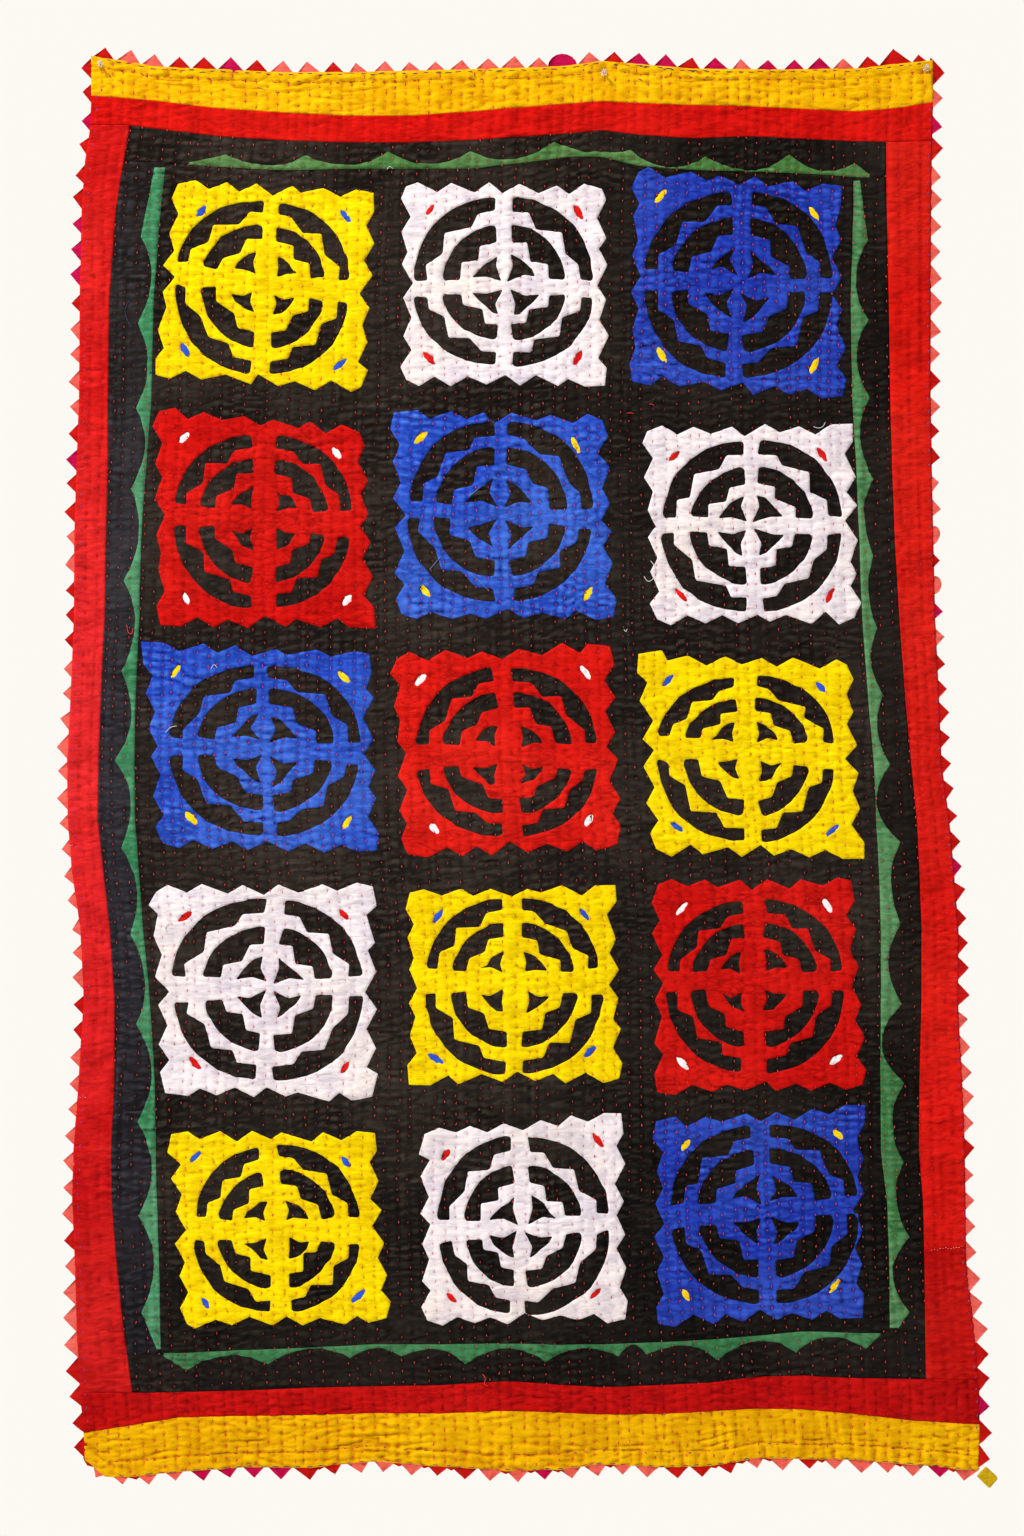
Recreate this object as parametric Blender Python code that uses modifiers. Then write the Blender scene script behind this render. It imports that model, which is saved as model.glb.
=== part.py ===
"""Ralli quilt: a quilted cotton hanging with a red border, yellow end bands,
fifteen cutwork applique squares on black and an edging of folded triangles,
held up by three clear push pins through its top band.

Units are metres, +Z is up, the face looks along -Y and the back is near Y = 0.
The origin is the middle of the top edge.  The tables are in millimetres:
x to the right, z up (so sizes down the quilt are negative).
"""

import math

import bmesh
import bpy
import numpy as np
from mathutils import Vector

for old in list(bpy.data.objects):
    bpy.data.objects.remove(old, do_unlink=True)

MM = 0.001
GAP = 0.3            # air between neighbouring cloths, mm
GROUND_T = 3.0       # the quilted layers together, mm
CLOTH_T = 1.0        # one applied cloth with its turned-in edge, mm
POINTS_T = 1.5       # a folded triangle, several layers of thin cotton, mm
SELVEDGE = 4.5       # how far the ground stops inside the hem, mm
TAB_T = 1.4

FACE = -GROUND_T                          # front face of the ground
LAYER_1 = (FACE - GAP, FACE - GAP - CLOTH_T)          # borders, bands and cutwork
LAYER_2 = (LAYER_1[1] - GAP, LAYER_1[1] - GAP - CLOTH_T)   # green strips

# ---------------------------------------------------------------- main folds
# How far the cloth stands away from the wall, across it and down it.
FOLDS_ACROSS = (     # x, stand-off
    (-760, 1.8), (-181, 0.2), (-8, 3.2), (175, 0.2), (760, 4.4),
)
FOLDS_DOWN = (       # z, stand-off
    (60, 0.0), (-504, 1.8), (-1205, 0.6), (-1556, 2.2), (-2180, 6.5),
)

# ------------------------------------------------------------ outline tables
# One row for each height: the hem, the red/black seam and the straight edge of
# the green strip, on the left and on the right.
SIDE_COLUMNS = ("z", "hem_l", "seam_l", "green_l", "green_r", "seam_r", "hem_r")
SIDES = (
    (40, -632, -573, -520, 513, 561, 632),
    (-51, -632, -573, -520, 513, 561, 632),
    (-141, -641, -582, -521, 513, 561, 630),
    (-216, -646, -594, -528, 513, 562, 629),
    (-501, -650, -606, -542, 511, 567, 628),
    (-711, -657, -609, -557, 522, 574, 632),
    (-951, -663, -617, -566, 535, 590, 641),
    (-1131, -667, -621, -566, 547, 607, 656),
    (-1296, -648, -603, -554, 554, 614, 670),
    (-1401, -643, -596, -544, 554, 614, 669),
    (-1641, -659, -601, -535, 555, 611, 679),
    (-1791, -656, -593, -530, 566, 618, 681),
    (-1986, -648, -569, -526, 567, 620, 700),
    (-2049, -642, -568, -526, 567, 620, 701),
    (-2106, -640, -568, -526, 567, 620, 698),
)
# One row for each place across the head: hem, yellow/red seam, red/black seam
# and the straight edge of the green strip.
TOP_COLUMNS = ("x", "hem", "yellow", "seam", "green")
TOP = (
    (-660, 16, -44, -88, -144),
    (-632, 16, -44, -88, -144),
    (-534, 0, -52, -94, -144),
    (-344, -8, -69, -111, -155),
    (-152, -6, -74, -114, -153),
    (27, -2, -61, -105, -143),
    (135, 9, -52, -96, -135),
    (192, 4, -55, -103, -149),
    (356, -4, -60, -105, -157),
    (519, -3, -68, -113, -166),
    (632, 9, -54, -112, -166),
    (660, 9, -54, -112, -166),
)
# The same across the foot, from the green strip down to the hem.  The lower
# left corner is turned up a little, so its hem is cut short.
BOTTOM_COLUMNS = ("x", "green", "seam", "yellow", "hem")
BOTTOM = (
    (-680, -1932, -1989, -2049, -2088),
    (-642, -1932, -1989, -2049, -2088),
    (-610, -1932, -1989, -2044, -2116),
    (-498, -1931, -1988, -2026, -2108),
    (-303, -1923, -1982, -2023, -2102),
    (-206, -1918, -1980, -2020, -2092),
    (-10, -1916, -1971, -2016, -2106),
    (226, -1915, -1978, -2021, -2102),
    (366, -1905, -1965, -2013, -2088),
    (506, -1900, -1967, -2020, -2090),
    (698, -1902, -1968, -2036, -2106),
    (730, -1902, -1968, -2036, -2106),
)

# Peaks of the green strips: place along the strip, height of the peak.
GREEN_PEAKS = {
    "top": ((-429, 18), (-310, 21), (-186, 25), (-63, 25), (63, 24), (178, 20), (290, 20), (416, 27), (514, 20)),
    "bottom": ((-488, 25), (-366, 22), (-243, 18), (-166, 17), (-70, 29), (50, 26), (160, 18), (201, 16), (308, 31), (426, 30), (530, 23)),
    "left": ((-256, 26), (-386, 22), (-514, 21), (-634, 20), (-772, 24), (-908, 22), (-1042, 29), (-1173, 23), (-1302, 19), (-1437, 22), (-1584, 26), (-1724, 28), (-1870, 27)),
    "right": ((-262, 22), (-381, 25), (-498, 25), (-620, 24), (-735, 19), (-843, 21), (-944, 22), (-1048, 23), (-1164, 31), (-1288, 29), (-1407, 30), (-1526, 35), (-1644, 31), (-1756, 31), (-1868, 29)),
}
GREEN_VALLEY = 6.0   # width left between two peaks, mm
GREEN_ENDS = {"top": (-486, 536), "bottom": (-522, 552), "left": (-152, -1924), "right": (-172, -1892)}

# Folded triangles of the edging, one row for each edge.
POINT_COLUMNS = ("count", "height", "lean", "seed")
POINTS = {
    "top": (33, 20.0, 1.0, 3),
    "right": (55, 18.5, 2.0, 5),
    "bottom": (35, 15.5, 3.0, 7),
    "left": (54, 18.5, -2.0, 11),
}

# Cutwork squares: corners clockwise from the upper left, then the middle of the
# cut rings.
SQUARE_COLUMNS = ("name", "colour", "tl_x", "tl_z", "tr_x", "tr_z", "br_x", "br_z", "bl_x", "bl_z", "mid_x", "mid_z")
SQUARES = (
    ("r1c1", "yellow", -504, -171, -207, -189, -219, -486, -532, -462, -372, -328),
    ("r1c2", "white", -164, -177, 140, -182, 141, -486, -164, -482, -9, -328),
    ("r1c3", "blue", 184, -155, 490, -178, 494, -495, 180, -471, 344, -332),
    ("r2c1", "red", -536, -514, -222, -543, -207, -838, -530, -838, -372, -680),
    ("r2c2", "blue", -177, -522, 140, -530, 154, -830, -170, -828, -20, -670),
    ("r2c3", "white", 196, -542, 508, -540, 519, -830, 212, -832, 358, -688),
    ("r3c1", "blue", -555, -866, -214, -880, -202, -1179, -530, -1172, -368, -1026),
    ("r3c2", "red", -180, -886, 150, -868, 164, -1170, -159, -1185, -3, -1032),
    ("r3c3", "yellow", 190, -884, 507, -898, 525, -1182, 213, -1178, 352, -1029),
    ("r4c1", "white", -543, -1232, -207, -1228, -206, -1550, -522, -1542, -364, -1384),
    ("r4c2", "yellow", -156, -1238, 153, -1232, 165, -1522, -152, -1526, 3, -1374),
    ("r4c3", "red", 213, -1221, 510, -1221, 532, -1534, 218, -1539, 363, -1374),
    ("r5c1", "yellow", -514, -1598, -207, -1602, -182, -1880, -490, -1887, -354, -1746),
    ("r5c2", "white", -136, -1598, 165, -1572, 171, -1878, -132, -1887, 16, -1743),
    ("r5c3", "blue", 214, -1581, 528, -1560, 524, -1875, 218, -1888, 382, -1716),
)
TEETH_A_SIDE = 5     # pinked teeth along one side of a square
TOOTH_DEPTH = 17.0
EAR = 30.0           # how far the blunt corner reaches along each side
RINGS = {            # colour: spoke width, outer ring (out, in), middle ring (out, in)
    "yellow": (36.0, 133.0, 111.0, 92.0, 72.0),
    "red": (36.0, 133.0, 111.0, 92.0, 72.0),
    "white": (20.0, 133.0, 111.0, 94.0, 74.0),
    "blue": (22.0, 132.0, 110.0, 92.0, 72.0),
}

# Push pins: where each one goes through the band.
PINS = {"left": (-617, 3), "middle": (138, -10), "right": (621, -4)}
PIN_PROFILE = (      # radius, distance in front of the flange's back face
    (0.0, 12.6), (2.6, 12.6), (3.1, 12.0), (2.9, 10.6), (1.9, 8.6), (1.9, 3.6), (3.0, 1.9), (5.0, 1.3), (5.0, 0.0),
    (0.55, 0.0), (0.55, -19.0), (0.0, -21.0),
)
PIN_HOLE_R = 1.0

COLOURS = {          # base colour and roughness
    "black": ((0.014, 0.013, 0.013), 0.9),
    "navy_black": ((0.012, 0.013, 0.018), 0.9),
    "red": ((0.60, 0.010, 0.008), 0.85),
    "rose": ((0.70, 0.02, 0.03), 0.85),
    "gold": ((0.85, 0.46, 0.004), 0.85),
    "yellow": ((0.92, 0.74, 0.006), 0.85),
    "blue": ((0.013, 0.045, 0.50), 0.85),
    "white": ((0.80, 0.73, 0.78), 0.85),
    "green": ((0.030, 0.23, 0.09), 0.85),
    "coral": ((0.85, 0.13, 0.10), 0.85),
    "olive": ((0.55, 0.36, 0.012), 0.8),
    "clear": ((0.93, 0.95, 0.95), 0.1),
}

quilt = bpy.data.collections.new("ralli_quilt")
tools = bpy.data.collections.new("hole_cutters")
bpy.context.scene.collection.children.link(quilt)
bpy.context.scene.collection.children.link(tools)


def material(name):
    if name in bpy.data.materials:
        return bpy.data.materials[name]
    m = bpy.data.materials.new(name)
    m.use_nodes = True
    shader = m.node_tree.nodes["Principled BSDF"]
    colour, rough = COLOURS[name]
    shader.inputs["Base Color"].default_value = (*colour, 1.0)
    shader.inputs["Roughness"].default_value = rough
    shader.inputs["Metallic"].default_value = 0.0
    if name == "clear":
        shader.inputs["Transmission Weight"].default_value = 0.9
    return m


def column(table, names, name, value):
    """The table's column NAME, read between its rows at VALUE of the first column."""
    rows = sorted(table)
    i = names.index(name)
    return float(np.interp(value, [r[0] for r in rows], [r[i] for r in rows]))


def side(name):
    return lambda z: column(SIDES, SIDE_COLUMNS, name, z)


def head(name, shift=0.0):
    return lambda x: column(TOP, TOP_COLUMNS, name, x) + shift


def foot(name, shift=0.0):
    return lambda x: column(BOTTOM, BOTTOM_COLUMNS, name, x) + shift


def stand_off(x, z):
    """Distance from the wall, mm, of the cloth's back at x, z (mm)."""
    a = np.interp(x, [r[0] for r in FOLDS_ACROSS], [r[1] for r in FOLDS_ACROSS])
    down = sorted(FOLDS_DOWN)
    b = np.interp(z, [r[0] for r in down], [r[1] for r in down])
    return float(a + b)


def meet(across, down):
    """The point where a line across meets a line down."""
    x, z = 0.0, 0.0
    for _ in range(12):
        x = down(z)
        z = across(x)
    return x, z


def inner_rows(table, low, high, margin=12.0):
    return [r[0] for r in table if low + margin < r[0] < high - margin]


def quad_outline(upper, lower, left, right):
    """Closed outline between two lines across and two lines down, clockwise from the upper left."""
    ul, ur = meet(upper, left), meet(upper, right)
    ll, lr = meet(lower, left), meet(lower, right)
    table_up = TOP if ul[1] > -1000 else BOTTOM
    table_low = TOP if ll[1] > -1000 else BOTTOM
    out = [ul]
    out += [(x, upper(x)) for x in inner_rows(table_up, ul[0], ur[0])]
    out += [ur]
    out += [(right(z), z) for z in sorted(inner_rows(SIDES, lr[1], ur[1]), reverse=True)]
    out += [lr]
    out += [(x, lower(x)) for x in sorted(inner_rows(table_low, ll[0], lr[0]), reverse=True)]
    out += [ll]
    out += [(left(z), z) for z in inner_rows(sorted(SIDES), ll[1], ul[1])]
    return out


def inset(points, amount):
    """A clockwise outline moved inwards by AMOUNT."""
    p = np.array(points, float)
    before, after = np.roll(p, 1, 0), np.roll(p, -1, 0)
    d1, d2 = p - before, after - p
    n1 = np.stack([d1[:, 1], -d1[:, 0]], 1) / np.linalg.norm(d1, axis=1)[:, None]
    n2 = np.stack([d2[:, 1], -d2[:, 0]], 1) / np.linalg.norm(d2, axis=1)[:, None]
    mitre = n1 + n2
    mitre /= (mitre * mitre).sum(1)[:, None] / 2.0
    return [tuple(v) for v in p + mitre * amount]


def plate(name, loops, layer, colour):
    """A flat piece of cloth from its outline and cut-outs, bent along the quilt's folds.

    The outline is drawn and filled in millimetres and brought to metres once it is bent."""
    back, front = layer
    curve = bpy.data.curves.new(name + "_outline", "CURVE")
    curve.dimensions = "2D"
    curve.fill_mode = "BOTH"
    curve.extrude = (back - front) / 2.0
    for loop in loops:
        line = curve.splines.new("POLY")
        line.points.add(len(loop) - 1)
        for p, (x, z) in zip(line.points, loop):
            p.co = (x, z, 0.0, 1.0)
        line.use_cyclic_u = True
    flat = bpy.data.objects.new(name + "_flat", curve)
    bpy.context.scene.collection.objects.link(flat)
    bpy.context.view_layer.update()
    mesh = bpy.data.meshes.new_from_object(flat.evaluated_get(bpy.context.evaluated_depsgraph_get()))
    bpy.data.objects.remove(flat, do_unlink=True)
    bm = bmesh.new()
    bm.from_mesh(mesh)
    bmesh.ops.remove_doubles(bm, verts=bm.verts, dist=0.01)
    flat_edges = [e for e in bm.edges if e.is_manifold and e.calc_face_angle(1.0) < 0.001]
    bmesh.ops.dissolve_limit(bm, angle_limit=0.001, verts=[], edges=flat_edges)
    for rows, axis in ((FOLDS_ACROSS, 0), (FOLDS_DOWN, 1)):
        for row in rows[1:-1]:
            point, normal = Vector((0, 0, 0)), Vector((0, 0, 0))
            point[axis], normal[axis] = row[0], 1.0
            bmesh.ops.bisect_plane(bm, geom=bm.verts[:] + bm.edges[:] + bm.faces[:], dist=0.02, plane_co=point, plane_no=normal)
    middle = (back + front) / 2.0
    for v in bm.verts:
        x, z, t = v.co
        v.co = Vector((x, middle - stand_off(x, z) + t, z)) * MM
    bmesh.ops.recalc_face_normals(bm, faces=bm.faces)
    if bm.calc_volume(signed=True) < 0:
        bmesh.ops.reverse_faces(bm, faces=bm.faces)
    bm.to_mesh(mesh)
    bm.free()
    obj = bpy.data.objects.new(name, mesh)
    obj.data.materials.clear()
    obj.data.materials.append(material(colour))
    quilt.objects.link(obj)
    return obj


# ------------------------------------------------------------- quilted ground
hem = quad_outline(head("hem"), foot("hem"), side("hem_l"), side("hem_r"))
ground = plate("quilted_ground", [inset(hem, SELVEDGE)], (0.0, FACE), "black")

# ------------------------------------------------------------- sewn-on strips
H = GAP / 2.0
AIR = H + 0.05


def shifted(line, by):
    return lambda v: line(v) + by


strips = {
    "yellow_band_top": (head("hem"), head("yellow", AIR), side("hem_l"), side("hem_r"), "gold"),
    "red_strip_top": (head("yellow", -AIR), head("seam", AIR), side("hem_l"), side("hem_r"), "red"),
    "red_strip_left": (head("seam", -AIR), foot("seam", AIR), side("hem_l"), shifted(side("seam_l"), -AIR), "rose"),
    "red_strip_right": (head("seam", -AIR), foot("seam", AIR), shifted(side("seam_r"), AIR), side("hem_r"), "red"),
    "red_strip_bottom": (foot("seam", -AIR), foot("yellow", AIR), side("hem_l"), side("hem_r"), "red"),
    "yellow_band_bottom": (foot("yellow", -AIR), foot("hem"), side("hem_l"), side("hem_r"), "gold"),
    "black_border_top": (head("seam", -AIR), head("green"), shifted(side("seam_l"), AIR), shifted(side("seam_r"), -AIR), "black"),
    "black_border_left": (head("green", -2 * AIR), foot("green", 2 * AIR), shifted(side("seam_l"), AIR), side("green_l"), "navy_black"),
    "black_border_right": (head("green", -2 * AIR), foot("green", 2 * AIR), side("green_r"), shifted(side("seam_r"), -AIR), "black"),
    "black_border_bottom": (foot("green"), foot("seam", AIR), shifted(side("seam_l"), AIR), shifted(side("seam_r"), -AIR), "navy_black"),
}
made = {}
for strip_name, (upper, lower, left, right, colour) in strips.items():
    outline = quad_outline(upper, lower, left, right)
    made[strip_name] = plate(strip_name, [outline], LAYER_1, colour)

# ------------------------------------------------------- green pointed strips
for edge, peaks in GREEN_PEAKS.items():
    start, stop = GREEN_ENDS[edge]
    table, line = {
        "top": (TOP, head("green")),
        "bottom": (BOTTOM, foot("green")),
        "left": (SIDES, side("green_l")),
        "right": (SIDES, side("green_r")),
    }[edge]
    outward = {"top": 1.0, "bottom": -1.0, "left": -1.0, "right": 1.0}[edge]
    low, high = min(start, stop), max(start, stop)
    along = [low] + [v for v in inner_rows(sorted(table), low, high)] + [high]
    base = [(v, line(v) + outward * 0.8) for v in along]
    order = sorted(peaks)
    tips = [(low, line(low) + outward * GREEN_VALLEY)]
    for i, (place, height) in enumerate(order):
        if i:
            gap = place - order[i - 1][0]
            for t in (0.42, 0.6):
                v = order[i - 1][0] + gap * t
                tips.append((v, line(v) + outward * GREEN_VALLEY))
        tips.append((place, line(place) + outward * height))
    tips.append((high, line(high) + outward * GREEN_VALLEY))
    loop = base + tips[::-1]
    if edge in ("left", "right"):
        loop = [(b, a) for a, b in loop]
    plate("green_points_" + edge, [loop], LAYER_2, "green")

# ------------------------------------------------------------- cutwork squares


def on_square(row, u, v):
    """Point of the square at u, v from -1 to 1: u to the right, v up."""
    tl, tr, br, bl = (Vector(row[i:i + 2]) for i in (2, 4, 6, 8))
    s, t = (u + 1) / 2, (v + 1) / 2
    return (tl * (1 - s) + tr * s) * t + (bl * (1 - s) + br * s) * (1 - t)


def pinked_outline(row, rng):
    corners = [Vector(row[i:i + 2]) for i in (2, 4, 6, 8)]
    middle = sum(corners, Vector((0, 0))) / 4
    loop = []
    for i in range(4):
        a, b = corners[i], corners[(i + 1) % 4]
        run = b - a
        length = run.length
        run = run / length
        inwards = Vector((run.y, -run.x))
        if inwards.dot(middle - a) < 0:
            inwards = -inwards
        span = length - 2 * EAR
        loop.append(a + run * 9.0)
        for k in range(TEETH_A_SIDE + 1):
            s = EAR + span * k / TEETH_A_SIDE
            loop.append(a + run * s + inwards * (TOOTH_DEPTH + rng.uniform(-2, 2)))
            if k < TEETH_A_SIDE:
                s += span / TEETH_A_SIDE * rng.uniform(0.42, 0.58)
                loop.append(a + run * s + inwards * rng.uniform(1.0, 5.0))
        loop.append(b - run * 9.0)
    return [tuple(p) for p in loop]


def ring_slots(row, rng):
    spoke, out_1, in_1, out_2, in_2 = RINGS[row[1]]
    across = (on_square(row, 1, 0) - on_square(row, -1, 0)).normalized()
    up = (on_square(row, 0, 1) - on_square(row, 0, -1)).normalized()
    middle = Vector(row[10:12])
    room_across = min((middle - on_square(row, -1, 0)).dot(across), (on_square(row, 1, 0) - middle).dot(across))
    room_up = min((middle - on_square(row, 0, -1)).dot(up), (on_square(row, 0, 1) - middle).dot(up))
    width = min(1.0, (room_across - TOOTH_DEPTH - 9.0) / out_1)
    height = min(1.0, (room_up - TOOTH_DEPTH - 9.0) / out_1)

    def at(radius, angle):
        return tuple(middle + across * (radius * width * math.cos(angle)) + up * (radius * height * math.sin(angle)))

    slots = []
    for quarter in range(4):
        for outer, inner, steps in ((out_1, in_1, 3), (out_2, in_2, 2)):
            margin = math.asin((spoke / 2) / outer) * 1.05
            start = quarter * math.pi / 2 + margin
            stop = (quarter + 1) * math.pi / 2 - margin
            angles = [start + (stop - start) * k / steps for k in range(steps + 1)]
            trim = math.asin((spoke / 2) / inner) * 1.05 - margin
            middle_angles = [(start + stop) / 2] if steps > 2 else []
            back = [start + trim] + middle_angles + [stop - trim]
            slots.append([at(outer, a) for a in angles] + [at(inner, a) for a in back[::-1]])
    return slots


for number, row in enumerate(SQUARES):
    rng = np.random.default_rng(40 + number)
    plate("cutwork_" + row[0], [pinked_outline(row, rng)] + ring_slots(row, rng), LAYER_1, row[1])

# ------------------------------------------------------------ edging of points
corner = {
    "tl": meet(head("hem"), side("hem_l")), "tr": meet(head("hem"), side("hem_r")),
    "br": meet(foot("hem"), side("hem_r")), "bl": meet(foot("hem"), side("hem_l")),
}


def walk(line, count):
    """COUNT points at equal steps along a line of points, with the outward direction at each."""
    p = np.array(line, float)
    d = np.linalg.norm(np.diff(p, axis=0), axis=1)
    s = np.concatenate([[0], np.cumsum(d)])
    return lambda v: (np.interp(v * s[-1], s, p[:, 0]), np.interp(v * s[-1], s, p[:, 1])), s[-1]


def edge_line(edge):
    """The hem along one edge, clockwise, from corner to corner."""
    start, stop = {"top": ("tl", "tr"), "right": ("tr", "br"), "bottom": ("br", "bl"), "left": ("bl", "tl")}[edge]
    a, b = hem.index(corner[start]), hem.index(corner[stop])
    return hem[a:b + 1] if b > a else hem[a:] + hem[:b + 1]


for edge, (count, height, lean, seed) in POINTS.items():
    rng = np.random.default_rng(seed)
    line = edge_line(edge)
    at, length = walk(line, count)
    pitch = length / count
    end_trim = (SELVEDGE + 0.8) / length
    outer, inner = [], []
    for k in range(count):
        tall = height * rng.uniform(0.78, 1.15)
        shift = rng.uniform(-0.07, 0.07) + lean / pitch * rng.uniform(0.4, 1.4)
        half = 0.5
        first = max((k + 0.5 - half) / count, end_trim)
        last = min((k + 0.5 + half) / count, 1 - end_trim)
        tip = (k + 0.5 + shift) / count
        for place, out in ((first, 0.6), (tip, tall)) + (((last, 0.6),) if k == count - 1 else ()):
            place = min(max(place, end_trim), 1 - end_trim)
            here, ahead = np.array(at(max(place - 0.002, 0))), np.array(at(min(place + 0.002, 1)))
            run = (ahead - here) / np.linalg.norm(ahead - here)
            outward = np.array((-run[1], run[0]))
            outer.append(tuple(np.array(at(place)) + outward * out))
    ring = inset(hem, SELVEDGE - GAP - 0.05)
    keep = [i for i, p in enumerate(hem) if p in line and p not in (line[0], line[-1])]
    middle_part = [ring[hem.index(p)] for p in line[1:-1]]
    for place in (end_trim, 1 - end_trim):
        here, ahead = np.array(at(max(place - 0.004, 0))), np.array(at(min(place + 0.004, 1)))
        run = (ahead - here) / np.linalg.norm(ahead - here)
        inner.append(tuple(np.array(at(place)) - np.array((-run[1], run[0])) * (SELVEDGE - GAP - 0.05)))
    loop = outer + [inner[1]] + middle_part[::-1] + [inner[0]]
    plate("points_" + edge, [loop], (FACE + POINTS_T, FACE), "coral")

# ------------------------------------------------------------------ corner tab
# A short folded strip of cloth, set at a slant just off the lower right corner.
tab_at, tab_turn = Vector((713.0, -2116.0)), math.radians(-42)
tab_half = (9.5, 16.0)
loop = []
for sx, sz in ((-1, 1), (0.55, 1), (1, 0.7), (1, -0.75), (0.7, -1), (-1, -1)):
    x, z = sx * tab_half[1], sz * tab_half[0]
    loop.append((tab_at.x + x * math.cos(tab_turn) - z * math.sin(tab_turn), tab_at.y + x * math.sin(tab_turn) + z * math.cos(tab_turn)))
plate("corner_tab", [loop], (FACE + TAB_T, FACE), "olive")

# ------------------------------------------------------------------- push pins
for pin, (x, z) in PINS.items():
    front = LAYER_1[1] - GAP - 0.05 - stand_off(x, z)
    mesh = bpy.data.meshes.new("push_pin_" + pin)
    bm = bmesh.new()
    chain = [bm.verts.new((r * MM, 0, h * MM)) for r, h in PIN_PROFILE]
    for a, b in zip(chain, chain[1:]):
        bm.edges.new((a, b))
    bm.to_mesh(mesh)
    bm.free()
    head_obj = bpy.data.objects.new("push_pin_" + pin, mesh)
    quilt.objects.link(head_obj)
    turn = head_obj.modifiers.new("turned", "SCREW")
    turn.angle = 2 * math.pi
    turn.steps = turn.render_steps = 8
    turn.use_merge_vertices = True
    turn.merge_threshold = 0.00001
    turn.use_smooth_shade = True
    head_obj.location = (x * MM, front * MM, z * MM)
    head_obj.rotation_euler = (math.pi / 2, 0, 0)
    head_obj.data.materials.append(material("clear"))
    # the needle's hole through the band and the ground
    cut_mesh = bpy.data.meshes.new("hole_" + pin)
    bm = bmesh.new()
    bmesh.ops.create_cone(bm, cap_ends=True, segments=10, radius1=PIN_HOLE_R * MM, radius2=PIN_HOLE_R * MM, depth=0.03)
    bm.to_mesh(cut_mesh)
    bm.free()
    cutter = bpy.data.objects.new("hole_" + pin, cut_mesh)
    cutter.location = (x * MM, front * MM, z * MM)
    cutter.rotation_euler = (math.pi / 2, 0, 0)
    cutter.hide_render = True
    cutter.display_type = "WIRE"
    tools.objects.link(cutter)
    for cloth in (ground, made["yellow_band_top"]):
        hole = cloth.modifiers.new("hole_" + pin, "BOOLEAN")
        hole.operation = "DIFFERENCE"
        hole.solver = "EXACT"
        hole.object = cutter
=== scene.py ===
import math

import bmesh
import bpy
import numpy as np
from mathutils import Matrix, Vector
from mathutils.geometry import delaunay_2d_cdt


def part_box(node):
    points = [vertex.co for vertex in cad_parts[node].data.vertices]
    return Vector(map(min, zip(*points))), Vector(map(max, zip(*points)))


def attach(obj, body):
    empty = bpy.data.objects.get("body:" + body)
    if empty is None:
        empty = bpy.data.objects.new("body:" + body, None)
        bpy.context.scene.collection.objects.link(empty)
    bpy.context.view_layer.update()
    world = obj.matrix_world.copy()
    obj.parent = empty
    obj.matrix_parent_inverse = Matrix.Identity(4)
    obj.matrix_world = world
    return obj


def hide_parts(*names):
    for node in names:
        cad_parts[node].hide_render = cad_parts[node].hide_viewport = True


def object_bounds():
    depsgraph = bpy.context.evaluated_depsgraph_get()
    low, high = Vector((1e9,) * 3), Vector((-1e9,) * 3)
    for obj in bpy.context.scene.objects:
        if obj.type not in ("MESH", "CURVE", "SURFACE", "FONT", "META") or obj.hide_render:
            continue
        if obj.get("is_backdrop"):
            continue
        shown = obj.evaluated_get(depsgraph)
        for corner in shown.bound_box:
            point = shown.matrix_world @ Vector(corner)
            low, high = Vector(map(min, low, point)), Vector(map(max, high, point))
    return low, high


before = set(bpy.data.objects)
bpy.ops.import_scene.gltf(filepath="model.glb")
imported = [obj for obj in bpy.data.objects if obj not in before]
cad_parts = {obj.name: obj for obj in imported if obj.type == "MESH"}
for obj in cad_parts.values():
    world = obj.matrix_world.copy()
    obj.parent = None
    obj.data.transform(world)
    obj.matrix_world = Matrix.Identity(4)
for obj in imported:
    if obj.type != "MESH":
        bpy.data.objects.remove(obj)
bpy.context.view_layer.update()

"""Looks of the ralli quilt.  All lengths in this file are millimetres, x to the
right and z up as seen from the front; y comes from the height of each cloth
above the wall side of the quilt, and everything is brought to metres when a
mesh is made."""

MM = 0.001
FACE = 3.0            # the quilted layers together
CLOTH = 1.25          # one applied cloth with its turned-in edge
GREEN_CLOTH = 0.9     # the green strips lie on top of the border cloth

# ------------------------------------------------------------ outline tables
SIDE_COLUMNS = ("z", "hem_l", "seam_l", "green_l", "green_r", "seam_r", "hem_r")
SIDES = (
    (40, -632, -573, -520, 513, 561, 632), (-51, -632, -573, -520, 513, 561, 632),
    (-96, -634, -574, -520, 513, 561, 631), (-141, -641, -582, -520, 513, 561, 630),
    (-216, -646, -594, -528, 513, 562, 629), (-351, -649, -604, -538, 509, 565, 628),
    (-501, -650, -606, -542, 511, 567, 628), (-606, -654, -606, -550, 517, 570, 630),
    (-711, -657, -609, -557, 522, 574, 632), (-831, -658, -611, -560, 526, 581, 635),
    (-951, -663, -617, -566, 535, 590, 641), (-1048, -668, -620, -567, 544, 599, 645),
    (-1131, -667, -621, -566, 547, 607, 656), (-1206, -661, -613, -561, 551, 611, 663),
    (-1296, -648, -603, -554, 554, 614, 670), (-1401, -643, -596, -544, 554, 614, 669),
    (-1514, -650, -596, -537, 553, 611, 675), (-1626, -658, -601, -535, 554, 610, 679),
    (-1701, -660, -600, -533, 563, 616, 680), (-1791, -656, -593, -530, 566, 618, 681),
    (-1896, -653, -582, -528, 567, 619, 693), (-1986, -648, -569, -526, 567, 620, 700),
    (-2049, -642, -568, -526, 567, 620, 701), (-2106, -640, -568, -526, 567, 620, 698),
)
TOP_COLUMNS = ("x", "hem", "yellow", "seam", "green")
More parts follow.
